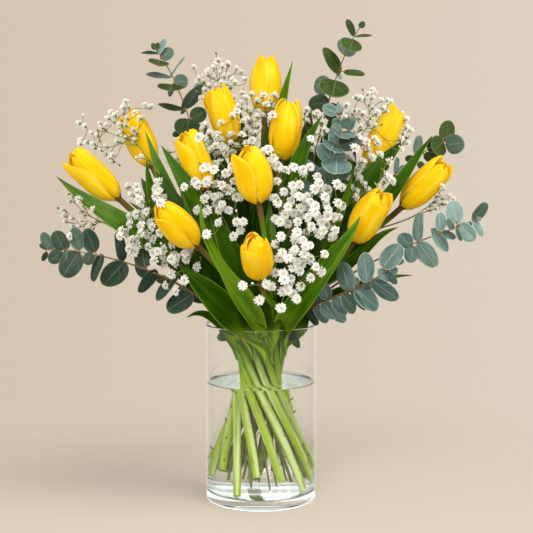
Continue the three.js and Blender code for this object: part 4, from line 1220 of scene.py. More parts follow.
SPRAYS = (
    SpraySpec("gypsophila_01", 141, 113, (-154, 6, 416), 38, 6, 4.5, seen=(
        (-146, 436), (-149, 429), (-143, 430), (-162, 424), (-158, 421), (-165, 418), (-136, 424),
        (-145, 418), (-130, 418), (-125, 432), (-119, 430), (-153, 411), (-174, 412), (-183, 402),
        (-172, 408), (-168, 406), (-138, 405), (-151, 403), (-155, 400), (-156, 393), (-145, 397),
        (-195, 394), (-196, 390), (-182, 390), (-180, 386), (-168, 379), (-164, 375), (-161, 371),
        (-174, 383), (-137, 394), (-130, 376), (-177, 399), (-168, 387), (-161, 378), (-159, 414),
        (-146, 410), (-189, 391),
    )),
    SpraySpec("gypsophila_02", -44, 57, (-192, -24, 320), 28, 3, 4.4, seen=(
        (-205, 338), (-200, 335), (-203, 330), (-195, 333), (-192, 331), (-211, 321), (-210, 314),
        (-209, 308), (-201, 312), (-192, 319), (-192, 309), (-188, 315), (-189, 324), (-201, 304),
        (-194, 303), (-179, 322), (-204, 293), (-181, 306),
    )),
    SpraySpec("gypsophila_03", -98, 39, (-124, -60, 324), 28, 5, seen=(
        (-135, 339), (-129, 348), (-128, 342), (-127, 335), (-124, 331), (-105, 353), (-109, 346),
        (-106, 343), (-109, 338), (-101, 336), (-104, 331), (-136, 317), (-130, 319), (-136, 309),
        (-121, 319), (-119, 322), (-123, 313), (-125, 307), (-115, 310), (-113, 306), (-125, 299),
        (-116, 296), (-119, 298), (-112, 293), (-105, 300), (-145, 302), (-140, 300), (-129, 294),
        (-147, 296),
    )),
    SpraySpec("gypsophila_04", -161, 30, (-98, -78, 274), 34, 5, seen=(
        (-127, 288), (-133, 283), (-129, 281), (-136, 285), (-106, 282), (-111, 281), (-101, 277),
        (-92, 274), (-86, 276), (-88, 270), (-78, 280), (-77, 274), (-91, 290), (-66, 266), (-92, 258),
        (-110, 272), (-79, 252), (-88, 240), (-100, 284), (-133, 294), (-116, 287),
    )),
    SpraySpec("gypsophila_05", 79, 197, (-50, 56, 464), 30, 5, 4.5, seen=(
        (-69, 462), (-72, 455), (-61, 468), (-58, 466), (-50, 476), (-53, 474), (-43, 475), (-51, 463),
        (-48, 461), (-41, 464), (-37, 465), (-44, 457), (-27, 473), (-22, 469), (-32, 460), (-29, 457),
        (-18, 461), (-37, 478), (-64, 458), (-58, 453), (-50, 453), (-63, 449), (-71, 458), (-67, 440),
        (-39, 455),
    )),
    SpraySpec("gypsophila_06", 159, 127, (-8, 20, 430), 32, 6, 5.0, seen=(
        (-16, 440), (-10, 444), (-4, 437), (3, 443), (15, 443), (10, 435), (6, 433), (-22, 434), (-25, 431),
        (-15, 428), (-11, 425), (-26, 426), (-31, 421), (-28, 422), (2, 421), (-4, 420), (-16, 417),
        (-19, 415), (-7, 410), (-3, 410), (13, 422), (-44, 413), (-6, 402), (-16, 405),
    )),
    SpraySpec("gypsophila_07", -80, 74, (-46, -70, 334), 30, 5, seen=(
        (-32, 364), (-30, 369), (-36, 362), (-28, 354), (-56, 369), (-59, 367), (-48, 366), (-54, 356),
        (-56, 353), (-68, 354), (-65, 350), (-79, 348), (-46, 351), (-37, 347), (-32, 344), (-40, 350),
        (-43, 339), (-48, 338), (-25, 338), (-58, 336), (-66, 324), (-58, 321), (-55, 324), (-43, 324),
        (-40, 330), (-33, 324), (-44, 311), (-25, 312), (-18, 312), (-21, 303), (-28, 297), (-46, 331),
        (-56, 299),
    )),
    SpraySpec("gypsophila_08", -139, 72, (24, -84, 348), 30, 5, seen=(
        (4, 385), (8, 387), (13, 378), (9, 373), (18, 370), (26, 366), (34, 369), (43, 366), (44, 363),
        (51, 369), (17, 355), (24, 344), (33, 350), (40, 351), (35, 342), (40, 339), (31, 334), (15, 337),
        (18, 332), (41, 327), (25, 320), (15, 316), (20, 313), (34, 322), (38, 313), (28, 311), (28, 328),
    )),
    SpraySpec("gypsophila_09", -117, 94, (56, -94, 316), 30, 5, seen=(
        (58, 360), (55, 347), (62, 348), (69, 347), (66, 339), (67, 332), (48, 339), (56, 330), (48, 328),
        (58, 320), (62, 313), (55, 324), (48, 318), (52, 309), (68, 319), (75, 319), (67, 310), (76, 305),
        (61, 301), (72, 298), (78, 352), (83, 349), (83, 330), (79, 333), (60, 353), (51, 334), (69, 326),
        (64, 305),
    )),
    SpraySpec("gypsophila_10", 17, 179, (28, -106, 252), 38, 5, seen=(
        (37, 304), (38, 299), (21, 300), (15, 292), (43, 296), (46, 290), (50, 291), (35, 287), (33, 284),
        (44, 282), (22, 283), (19, 278), (28, 278), (50, 277), (42, 272), (37, 274), (33, 268), (40, 265),
        (56, 269), (65, 282), (62, 264), (51, 258), (15, 263), (23, 262), (24, 256), (31, 257), (41, 249),
        (28, 245), (6, 251), (11, 249), (-18, 250), (-1, 235), (21, 227), (37, 236), (35, 297),
    )),
    SpraySpec("gypsophila_11", 60, 171, (118, 14, 416), 36, 6, 4.8, seen=(
        (104, 441), (108, 440), (112, 439), (117, 444), (121, 440), (131, 437), (133, 433), (138, 437),
        (141, 436), (94, 432), (102, 427), (107, 426), (111, 423), (122, 429), (127, 424), (121, 422),
        (94, 424), (116, 414), (118, 411), (124, 410), (109, 409), (111, 406), (120, 418), (107, 418),
        (100, 422), (158, 417), (159, 408), (163, 405), (155, 401), (153, 395), (160, 391), (153, 384),
        (133, 429),
    )),
    SpraySpec("gypsophila_12", -63, 144, (120, -28, 354), 28, 5, seen=(
        (103, 399), (107, 395), (108, 392), (112, 394), (121, 396), (124, 392), (114, 385), (118, 377),
        (100, 387), (94, 380), (96, 376), (109, 372), (106, 368), (103, 363), (102, 358), (93, 356),
        (136, 372), (133, 358), (137, 355), (132, 352), (125, 346), (102, 341), (101, 335), (114, 342),
        (140, 352),
    )),
    SpraySpec("gypsophila_13", 98, 162, (187, -10, 326), 24, 4, 4.4, seen=(
        (197, 342), (195, 345), (192, 334), (197, 332), (204, 334), (207, 332), (188, 329), (192, 324),
        (200, 326), (196, 327), (183, 324), (189, 321),
    )),
    SpraySpec("gypsophila_14", -2, 124, (8, 108, 392), 34, 26),
    SpraySpec("gypsophila_15", 177, 190, (82, 98, 372), 34, 26),
    SpraySpec("gypsophila_16", 118, 193, (-86, 96, 368), 34, 26),
    SpraySpec("gypsophila_17", 36, 65, (54, 4, 402), 28, 8, 4.7, seen=(
        (48, 424), (50, 427), (50, 415), (46, 418), (59, 421), (61, 424), (66, 414), (69, 406), (72, 404),
        (59, 401), (54, 396), (51, 391), (49, 386), (55, 385), (47, 379), (86, 418), (91, 419), (93, 432),
        (65, 400),
    )),
    SpraySpec("gypsophila_18", -22, 25, (-42, -16, 384), 32, 6, 5.0, seen=(
        (-59, 411), (-32, 401), (-20, 401), (-15, 392), (-6, 393), (-10, 395), (-47, 401), (-55, 403),
        (-60, 397), (-66, 398), (-47, 394), (-48, 389), (-43, 396), (-56, 392), (-32, 392), (-39, 384),
        (-54, 384), (-47, 380), (-44, 372), (-49, 370), (-30, 382), (-52, 386),
    )),
)


# ------ the pieces


@dataclass
class Vase:
    """Straight clear glass vase with a thick base."""

    radius: float = 60.0
    height: float = 196.0
    wall: float = 2.8
    floor: float = 11.0
    #: Radii of the rounding outside the base and of the one inside it.
    heel: float = 4.5
    corner: float = 6.0
    sides: int = 128

    def profile(self) -> Table:
        """The outline from the middle of the foot, out, up and round to the middle of the floor.

        Returns:
            Radius and height of each point.
        """
        radius, height, floor, lip = self.radius, self.height, self.floor, self.wall / 2 + 0.12
        inner = radius - self.wall
        return [
            (0.0, 1.2), (radius * 0.55, 1.1), (radius - 9.0, 0.5), (radius - 6.0, 0.0),
            *arc(radius - self.heel, self.heel, self.heel, -1, 0, 8),
            *((radius, z) for z in np.linspace(8, height - 4, 14)),
            *arc(radius - self.wall / 2, height - lip, lip, 0, 2, 12),
            *((inner, z) for z in np.linspace(height - 4, floor + 7, 14)),
            *arc(inner - self.corner, floor + self.corner, self.corner, 0, -1, 8)[1:],
            (inner * 0.5, floor - 0.4), (0.0, floor - 0.6),
        ]

    def build(self) -> None:
        """Makes the glass."""
        points, faces = lathe(self.profile(), self.sides)
        draft = Draft()
        draft.add(points, faces, points)
        draft.piece("vase_glass", [Clear.GLASS.build()], "vase", 60.0)


@dataclass
class Water:
    """Water with a raised edge where it meets the glass, and small rings round the stems."""

    vase: Vase
    stems: list[Array]
    #: How high the water rises at the glass and at a stem, and over which distance that fades.
    edge: tuple[float, float] = (1.9, 1.6)
    ring: tuple[float, float] = (0.9, 1.4)
    #: Height of the ripples round a stem, radians in a millimetre and the distance over which they fade.
    ripple: tuple[float, float, float] = (0.10, 0.9, 14.0)

    def surface_height(self, x: float, y: float) -> float:
        """The surface with its raised edge and its rings.

        Args:
            x: Place from left to right.
            y: Place from front to back.

        Returns:
            Its height there.
        """
        away = self.vase.radius - self.vase.wall - math.hypot(x, y)
        (edge, edge_fade), (ring, ring_fade), (ripple, turn, fade) = self.edge, self.ring, self.ripple
        height = WATER_Z + edge * math.exp(-max(away, 0.0) / edge_fade)
        for stem in self.stems:
            gap = math.hypot(x - stem[0], y - stem[1])
            height += ring * math.exp(-max(gap - 3.8, 0.0) / ring_fade)
            height += ripple * math.cos(gap * turn) * math.exp(-gap / fade)
        return height

    def build(self) -> None:
        """Makes the body of water, which reaches a little into the glass."""
        inner = self.vase.radius - self.vase.wall + 0.1
        floor, corner = self.vase.floor, self.vase.corner
        bend = np.linspace(0, math.pi / 2, 9)
        rings = inner * np.cos(np.linspace(0, math.pi / 2, 41)[:-1])
        profile = [
            (0.0, floor - 0.75), (inner * 0.5, floor - 0.55),
            *((inner - corner * (1 - math.sin(a)), floor + corner - 6.15 * math.cos(a)) for a in bend),
            *((inner, z) for z in np.linspace(floor + 12, WATER_Z - 6, 10)),
            *((ring, WATER_Z) for ring in rings), (0.0, WATER_Z),
        ]
        points, faces = lathe(profile, self.vase.sides)
        top = points[:, 2] >= WATER_Z - 1e-6
        points[top, 2] = [self.surface_height(x, y) for x, y, _ in points[top]]
        draft = Draft()
        draft.add(points, faces, points)
        draft.piece("vase_water", [Clear.WATER.build()], "water", 40.0)


@dataclass
class Bloom:
    """A closed tulip: three outer petals that lap over each other round three inner ones."""

    spec: TulipSpec
    seed: int
    thickness: float = 0.8
    columns: int = 25
    rows: int = 34
    #: Radius at each share of the height, as a share of the widest, for outer and inner petals.
    girths: tuple[Table, Table] = (
        (
            (0.0, 0.2), (0.04, 0.42), (0.1, 0.64), (0.2, 0.85), (0.32, 0.97), (0.44, 1.0), (0.56, 0.99),
            (0.68, 0.96), (0.78, 0.91), (0.87, 0.84), (0.94, 0.75), (1.0, 0.6),
        ),
        (
            (0.0, 0.1), (0.1, 0.4), (0.3, 0.74), (0.5, 0.86), (0.65, 0.87), (0.78, 0.83), (0.88, 0.74),
            (0.95, 0.6), (1.0, 0.38),
        ),
    )
    #: Half of the angle that a petal takes, in degrees: outer, inner, and what a blunt tip adds.
    spreads: tuple[Table, Table, Table] = (
        (
            (0.0, 34), (0.08, 52), (0.2, 60), (0.45, 64), (0.66, 63), (0.76, 60), (0.84, 54), (0.9, 45),
            (0.95, 33), (0.98, 20), (1.0, 3),
        ),
        ((0.0, 30), (0.2, 58), (0.6, 66), (0.78, 66), (0.88, 62), (0.94, 52), (0.98, 32), (1.0, 5)),
        ((0.0, 0), (0.7, 0), (0.84, 7), (0.9, 14), (0.95, 20), (0.98, 22), (1.0, 12)),
    )
    #: For outer and inner petals: radius of the tip that the girths lead to, and how hollow they are.
    tip_outs: tuple[float, float] = (0.6, 0.36)
    dips: tuple[float, float] = (3.4, 2.2)
    #: Radius and height of the seat below the petals.
    seat: Table = ((0.0, -2.6), (3.4, -2.6), (4.4, -1.2), (5.6, 0.4), (5.0, 2.0), (0.0, 3.0))

    def petal(self, turn: float, inner: bool, top: Top, rng: Random) -> Array:
        """The middle surface of a petal in the bloom's own frame.

        Args:
            turn: Angle of its middle, in radians.
            inner: True for one of the three inner petals.
            top: How it ends.
            rng: Source of its own variation.

        Returns:
            The grid of points.
        """
        v = np.linspace(0, 1, self.rows)[:, None] ** 0.9
        u = np.linspace(-1, 1, self.columns)[None, :]
        level = v if inner else np.clip(v * top.height, 0, 1)
        girth = np.interp(level, *zip(*self.girths[inner]))
        girth = girth + (top.out - self.tip_outs[inner]) * smooth(0.5, 1.0, v) ** 1.3
        half = np.interp(v, *zip(*self.spreads[inner])) + top.blunt * np.interp(v, *zip(*self.spreads[2]))
        half = np.radians(half) * rng.uniform(0.97, 1.03)
        angle = turn + (u + rng.uniform(-0.08, 0.08) * v * v) * half
        lap = 1.2 * u * smooth(0.04, 0.3, v)
        hollow = smooth(0.02, 0.3, v) * (1.0 - 0.45 * smooth(0.6, 1, v))
        dip = self.dips[inner] * np.abs(u) ** 2.3 * hollow
        keel = 0.55 * np.exp(-((u / 0.13) ** 2)) * np.sin(np.pi * np.clip(v * 1.05, 0, 1)) ** 0.7
        flutes = 0.2 * np.cos(u * 8.0 + rng.uniform(0, 6)) * smooth(0.1, 0.5, v)
        frill = 0.45 * np.sin(v * 8.0 + rng.uniform(0, 6)) * np.abs(u) ** 3 * smooth(0.3, 0.9, v)
        radius = (self.spec.width - self.thickness) / 2 * girth + lap - dip + keel + flutes + frill
        height = self.spec.length * top.height * v - 1.7 * u * u * (1 - smooth(0.0, 0.25, v))
        height = height + 0.5 * np.sin(u * 4 + rng.uniform(0, 6)) * v
        return np.stack([radius * np.cos(angle), radius * np.sin(angle), height], axis=-1)

    def place(self, points: Array) -> Array:
        """Moves points from the bloom's own frame to where the bloom is."""
        spun = turned(points, UP, math.radians(self.spec.spin))
        return spun @ frame_of(self.spec.axis).T + vec(*self.spec.base)

    def build(self, petals: Material, stem: Material) -> BVHTree:
        """Makes the bloom.

        Args:
            petals: Material of the petals.
            stem: Material of the seat that they stand on.

        Returns:
            Its faces, for keeping clear of them.
        """
        rng = np.random.default_rng(self.seed)
        draft = Draft()
        for k in range(3):
            for inner in (False, True):
                turn = math.radians(120 * k + (60 if inner else 0) + rng.uniform(-3, 3))
                top = Top(rng.uniform(0.92, 0.97), rng.uniform(0.18, 0.26)) if inner else self.spec.tops[k]
                grid = self.place(self.petal(turn, inner, top, rng))
                draft.leaf(grid, self.thickness, rng.random(), (0, 0), 0.9)
        points, faces = lathe(self.seat, 20)
        draft.add(self.place(points), faces, (0.0, 0.0, 0.0), 1)
        name = self.spec.name + "_bloom"
        return draft.piece(name + "_petals", [petals, stem], name)


@dataclass
class TulipStem:
    """A tulip's stem with the leaves that clasp it."""

    spec: TulipSpec
    index: int
    first_seed: int = 40
    neck: float = 62.0
    joint: float = 2.8
    thickness: float = 0.9
    columns: int = 13
    rows: int = 44
    foot_rises: tuple[int, ...] = (3, 16, 7, 21, 1, 12, 5, 18, 2, 24, 9, 14)
    #: For a painted-shade leaf lining the bunch: shares of the bend at three points, and how far out they
    #: lie.
    inside: Table = ((0.32, 15), (0.56, 23), (0.8, 27))
    inside_width: float = 34.0
    #: Heights between which stubs stand, and their spacing; how far out and up one goes, and its radii.
    stubs: tuple[int, int, int] = (24, 124, 17)
    stub_line: Table = ((0.0, 0.0), (1.6, 1.0), (2.6, 3.0))
    stub_radii: tuple[float, ...] = (0.9, 0.6, 0.25)
    path: StemPath = field(init=False)

    def __post_init__(self) -> None:
        """Lays the centre line."""
        foot, waist, up = spiral(Strand.TULIP, self.spec.slot, self.foot_rises[self.index])
        axis = self.spec.axis
        end = vec(*self.spec.base) - axis * self.joint
        self.path = StemPath(foot, Cubic(waist, waist + up * self.spec.rise, end - axis * self.neck, end))

    def girth(self, line: Array) -> Array:
        """Radius along the stem: full in the water, slimmer towards the bloom, fuller at its nodes.

        Args:
            line: Points of the centre line.

        Returns:
            The radius at each of them.
        """
        height = line[:, 2]
        radii = Strand.TULIP.radius * blend(1.1, 0.86, smooth(60, 320, height))
        for k in range(3):
            node = 34 + 31 * k + (self.index * 37 + k * 19) % 23
            radii = radii + 0.5 * np.exp(-(((height - node) / 1.6) ** 2))
        return radii

    def blade(self, leaf: Blade, rng: Random) -> Array:
        """The middle surface of a leaf.

        Args:
            leaf: The leaf's shape.
            rng: Source of its own variation.

        Returns:
            The grid of points.
        """
        share = self.path.share_at(leaf.root)
        root, grown = self.path.bend.at(share), self.path.bend.heading(share)
        rib = Cubic.through(root, vec(*leaf.first), vec(*leaf.second), vec(*leaf.tip))
        length = remaining(rib.at(np.linspace(0, 1, 30)))[0]
        v = np.linspace(0, 1, self.rows)
        hug = (1 - smooth(0.0, 0.3, v))[:, None]
        ahead = unit(blend(rib.heading(v), grown, hug))
        middle = blend(rib.at(v), root + grown * (v * length)[:, None], hug)
        side = unit(np.cross(ahead, unit(vec(*leaf.face))))
        inward = np.cross(side, ahead)
        swell = np.sin(np.pi * np.minimum(1, v**0.8 * 0.86 + 0.14)) ** 0.9
        swell = np.where(v < 0.35, np.maximum(swell, 0.42), swell) * (1 - leaf.slim * smooth(0.36, 0.6, v))
        half = leaf.width / 2 * np.maximum(0.02, swell)[:, None]
        half[-1] = 0.15
        grip = blend(5.0, leaf.width * 1.5, smooth(0.05, 0.75, v))[:, None]
        u = np.linspace(-1, 1, self.columns)[None, :]
        arch = u * half / grip
        frill = 0.7 * np.sin(v * 15 + rng.uniform(0, 6))[:, None] * np.abs(u) ** 3 * half / 12
        away = (grip * np.sin(arch))[..., None] * side[:, None, :]
        raised = (grip * (1 - np.cos(arch)) + frill - 5.0 * hug)[..., None] * inward[:, None, :]
        return middle[:, None, :] + away + raised

    def stub(self, draft: Draft, height: float, rng: Random) -> None:
        """Adds the short dry stub of a leaf that was stripped off, unless the stem starts above it.

        Args:
            draft: The piece that it belongs to.
            height: Its height.
            rng: Source of the way that it points.
        """
        foot, waist = self.path.foot, self.path.bend.a
        up = unit(waist - foot)
        if height < foot[2] + 6:
            return
        spot = foot + up * (height - foot[2]) / up[2]
        out = unit(np.cross(up, unit(rng.normal(0, 1, 3))))
        line = [spot + out * (Strand.TULIP.radius + far) + up * rise for far, rise in self.stub_line]
        draft.stalk(np.array(line), self.stub_radii, 5, 0.0, 0, 0.0)

    def shade_lining(self) -> list[Blade]:
        """Further dark leaves inside the bunch, left and right behind the stem: painted shade in its gaps.

        Returns:
            The leaves.
        """
        bend = self.path.bend
        inward = -unit(bend.at(0.6) * vec(1, 1, 0) - vec(0, 8, 0))
        blades = []
        for k, side in enumerate((-1, 1, 0)):
            way = turned(inward, UP, side * math.radians(52 + 9 * (self.index % 3)))
            shift = (0.06 * k, 0.06 * k, 0.08 * k)
            points = [bend.at(share + more) + way * out for (share, out), more in zip(self.inside, shift)]
            root = 150 + (self.index * 13 + k * 29) % 45
            face = tuple(way * -0.3 + Blade.face)
            blades.append(Blade(root, *points, self.inside_width, face, shaded=True))
        return blades + [Blade(*row, shaded=True) for row in SHADE_BACKING.get(self.spec.name, ())]

    def build(self, stem: Material, blades: list[Material]) -> BVHTree:
        """Makes the stem and its leaves.

        Args:
            stem: Material of the stem.
            blades: Materials of the leaves in the light and, darker as painted shade, of those inside the
                bunch.

        Returns:
            Its faces, for keeping clear of them.
        """
        rng = np.random.default_rng(self.first_seed + self.index)
        draft = Draft()
        line = self.path.line(40, 60)
        draft.stalk(line, self.girth(line), 14, rng.random(), 0)
        for height in range(*self.stubs):
            self.stub(draft, height + rng.uniform(0, 16), rng)
        for leaf in (*self.spec.blades, *self.shade_lining()):
            # Leaves inside the bunch take the darker finish, which is painted shade.
            finish = 2 if leaf.shaded else 1
            grid = self.blade(leaf, rng)
            draft.leaf(grid, self.thickness, rng.random() + leaf.pale, (finish, finish), 0.94)
        name = self.spec.name + "_stem"
        return draft.piece(name + "_leaves", [stem, *blades], name)


@dataclass(frozen=True)
class Set:
    """How a gum leaf is set: where its blade begins, the way it points and the way it looks."""

    base: Array
    out: Array
    normal: Array
    length: float
    width: float
    tone: Tone


@dataclass
class Branch:
    """A eucalyptus branch with round leaves in opposite pairs."""

    spec: BranchSpec
    index: int
    first_seed: int = 500
    #: Parameter of the bend at which the branch passes its stated middle.
    passes_at: float = 0.55
    thickness: float = 0.7
    columns: int = 9
    rows: int = 12
    #: Least length of a leaf to the width that it shows, and least width to its length.
    longest: float = 1.14
    roundest: float = 0.8
    #: Length of the largest leaf of a branch that is stated as pairs.
    paired_length: float = 32.0
    #: Radii of a leaf's stalk, and how far it runs on under the blade.
    stalk_radii: tuple[float, ...] = (0.8, 0.7, 0.6, 0.4)
    stalk_end: float = 2.5
    path: StemPath = field(init=False)

    def __post_init__(self) -> None:
        """Lays the centre line through the branch's stated middle."""
        spec, t = self.spec, self.passes_at
        foot, waist, up = spiral(Strand.EUCALYPTUS, spec.slot, 4 + (self.index * 7) % 20)
        start, tip, s = waist + up * spec.rise, vec(*spec.tip), 1 - t
        pull = vec(*spec.middle) - s**3 * waist - 3 * s * s * t * start - t**3 * tip
        self.path = StemPath(foot, Cubic(waist, start, pull / (3 * s * t * t), tip))

    def seen(self, leaf: Leaf, hand: float) -> Set:
        """Sets a leaf so that it shows the stated outline from the front.

        Args:
            leaf: The leaf as it is seen.
            hand: 1 or -1, the side to which a narrow leaf is turned.

        Returns:
            How it is set.
        """
        line = self.path.bend.at(np.linspace(0.1, 1, 200))
        near = line[np.argmin(np.hypot(line[:, 0] - leaf.x, line[:, 2] - leaf.z))]
        flat = vec(leaf.tip_x - leaf.x, 0, leaf.tip_z - leaf.z)
        shown = float(np.linalg.norm(flat))
        length = max(shown, leaf.width * self.longest)
        tilt = math.acos(min(1.0, shown / length)) * (-1 if leaf.away else 1) + 0.1 * hand
        front = vec(0, -1, 0)
        out = unit(flat / shown * math.cos(tilt) + front * math.sin(tilt))
        width = max(leaf.width, self.roundest * length)
        roll = math.acos(leaf.width / width) * hand
        level = unit(np.cross(flat, front))
        side = level * math.cos(roll) + np.cross(out, level) * math.sin(roll)
        normal = np.cross(side, out)
        normal = normal if np.dot(normal, front) >= 0 else -normal
        base = vec(leaf.x, near[1], leaf.z)
        return Set(base, out, normal, length, width, leaf.tone or self.spec.tone)

    def paired(self, rng: Random) -> list[Set]:
        """Sets the leaves of a branch that is stated as so many opposite pairs.

        Args:
            rng: Source of their variation.

        Returns:
            How each of them is set.
        """
        made = []
        for pair in range(self.spec.pairs):
            share = pair / (self.spec.pairs - 1)
            t = blend(0.36, 0.99, share)
            ahead = self.path.bend.heading(t)
            level = unit(np.cross(UP, ahead))
            other = unit(np.cross(ahead, level))
            for half in (0.0, math.pi):
                turn = math.radians(90 * pair + 24 * (rng.random() - 0.5)) + half
                lift = math.radians(26 + 26 * (rng.random() - 0.5))
                outward = level * math.cos(turn) + other * math.sin(turn)
                out = outward * math.cos(lift) + ahead * math.sin(lift)
                normal = ahead * math.cos(lift) - outward * math.sin(lift)
                length = self.paired_length * blend(1.0, 0.42, share**1.6) * rng.uniform(0.9, 1.1)
                width = length * rng.uniform(0.8, 0.92)
                base = self.path.bend.at(t) + out * 2.0
                made.append(Set(base, out, normal, length, width, self.spec.tone))
        return made

    def leaf(self, leaf: Set, rng: Random) -> tuple[Array, Array]:
        """The middle surface of one leaf.

        Args:
            leaf: How it is set.
            rng: Source of its own variation.

        Returns:
            The grid of points, and the nearness to the outline of each.
        """
        theta = np.linspace(0.06, math.pi, self.rows)[:, None]
        u = np.linspace(-1, 1, self.columns)[None, :]
        x = (1 - np.cos(theta)) / 2
        y = u * np.maximum(np.sin(theta) ** 0.9, 0.02) * (1 - 0.12 * (x - 0.45))
        rim = np.sqrt(np.clip((2 * x - 1) ** 2 + (u * np.sin(theta)) ** 2, 0, 1))
        bowl, fold, droop = rng.uniform(-0.6, 1.5), rng.uniform(0.3, 1.3), rng.uniform(-2.2, 0.8)
        rise = -bowl * rim**2 + fold * np.abs(y) + droop * x * x
        rise = (rise + 0.35 * np.sin(x * 7 + rng.uniform(0, 6)) * u) * leaf.length / 26
        way = np.array([leaf.out * leaf.length, unit(np.cross(leaf.out, leaf.normal)) * leaf.width / 2])
        flat = np.stack(np.broadcast_arrays(x, y), axis=-1)
        return leaf.base + flat @ way + rise[..., None] * leaf.normal, rim

    def build(self, gum: dict[Tone, Material], bark: Material) -> BVHTree:
        """Makes the branch.

        Args:
            gum: Materials of leaves, by their tone.
            bark: Material of the stem.

        Returns:
            Its faces, for keeping clear of them.
        """
        rng = np.random.default_rng(self.first_seed + self.index)
        draft = Draft()
        line = self.path.line(16, 60)
        radii = Strand.EUCALYPTUS.radius * blend(0.38, 0.95, smooth(0, 260, remaining(line)))
        own = rng.random()
        sets = [self.seen(leaf, 1 if k % 2 else -1) for k, leaf in enumerate(self.spec.leaves)]
        sets = sets or self.paired(rng)
        tones = [tone for tone in Tone if any(tone in (s.tone, s.tone.under) for s in sets)]
        draft.stalk(line, radii, 10, own, len(tones))
        for leaf in sets:
            grid, rim = self.leaf(leaf, rng)
            finish = (tones.index(leaf.tone), tones.index(leaf.tone.under))
            draft.leaf(grid, self.thickness, rng.random(), finish, rim)
            near = line[np.argmin(np.linalg.norm(line - leaf.base, axis=1))]
            stalk = [near, blend(near, leaf.base, 0.5), leaf.base, leaf.base + leaf.out * self.stalk_end]
            draft.stalk(np.array(stalk), self.stalk_radii, 6, 0.0, len(tones))
        materials = [gum[tone] for tone in tones] + [bark]
        return draft.piece(self.spec.name + "_branch", materials, self.spec.name)


class FloretShape:
    """A double floret of baby's breath at a radius of one, facing +Z, its heart and its cup."""

    #: For each ring of petals: their number, reach, rise in radians, foot height and half width.
    rings = (
        (9, 1.03, 0.14, -0.3, 0.23), (9, 0.97, 0.54, -0.22, 0.23), (8, 0.9, 0.92, -0.14, 0.22),
        (6, 0.8, 1.18, -0.05, 0.2), (3, 0.72, 1.4, 0.02, 0.2),
    )
    #: The cup below the petals and the heart between them.
    cup = lathe([(0.0, -0.8), (0.1, -0.74), (0.27, -0.5), (0.29, -0.3), (0.2, -0.12), (0.0, -0.1)], 8)
    heart = lathe([(0.0, 0.3), (0.1, 0.42), (0.13, 0.66), (0.09, 0.75), (0.0, 0.77)], 7)
    #: Along a petal: the share of its length, and its width there; and how its end is notched.
    along = np.array([0.0, 0.4, 0.75, 0.93, 1.0])[:, None]
    widths = np.array([0.3, 0.8, 1.0, 0.8, 0.34])[:, None]
    notch = np.array([0.0, 0.05, -0.09, 0.05, 0.0])

    def __init__(self, seed: int) -> None:
        """Lays out rings of petals, from the flat outer one to the upright heart.

        Args:
            seed: Seed of its variation.
        """
        rng = np.random.default_rng(seed)
        self.petals: list[Array] = []
        for count, reach, lift, start, wide in self.rings:
            shift = rng.uniform(0, 6)
            for k in range(count):
                turn = shift + 2 * math.pi * (k + rng.uniform(-0.16, 0.16)) / count
                length = reach * rng.uniform(0.88, 1.06)
                flat = self.petal(length, lift + rng.uniform(-0.12, 0.12), start, wide, rng)
                self.petals.append(turned(flat, UP, turn))

    def petal(self, reach: float, lift: float, start: float, wide: float, rng: Random) -> Array:
        """One petal, towards +X.

        Args:
            reach: Its length.
            lift: How steeply it rises, in radians.
            start: Height of its foot.
            wide: Half of its width.
            rng: Source of its own variation.

        Returns:
            Its points.
        """
        s, u = self.along, np.linspace(-1, 1, 5)[None, :]
        run = reach * (s + self.notch * (s > 0.9))
        height = start + run * math.sin(lift) - 0.16 * s**3 + 0.11 * u * u * s
        height = height + 0.04 * np.cos(u * 4 + rng.uniform(0, 6)) * s
        return np.stack([run * math.cos(lift), u * wide * self.widths, height], axis=-1).reshape(-1, 3)


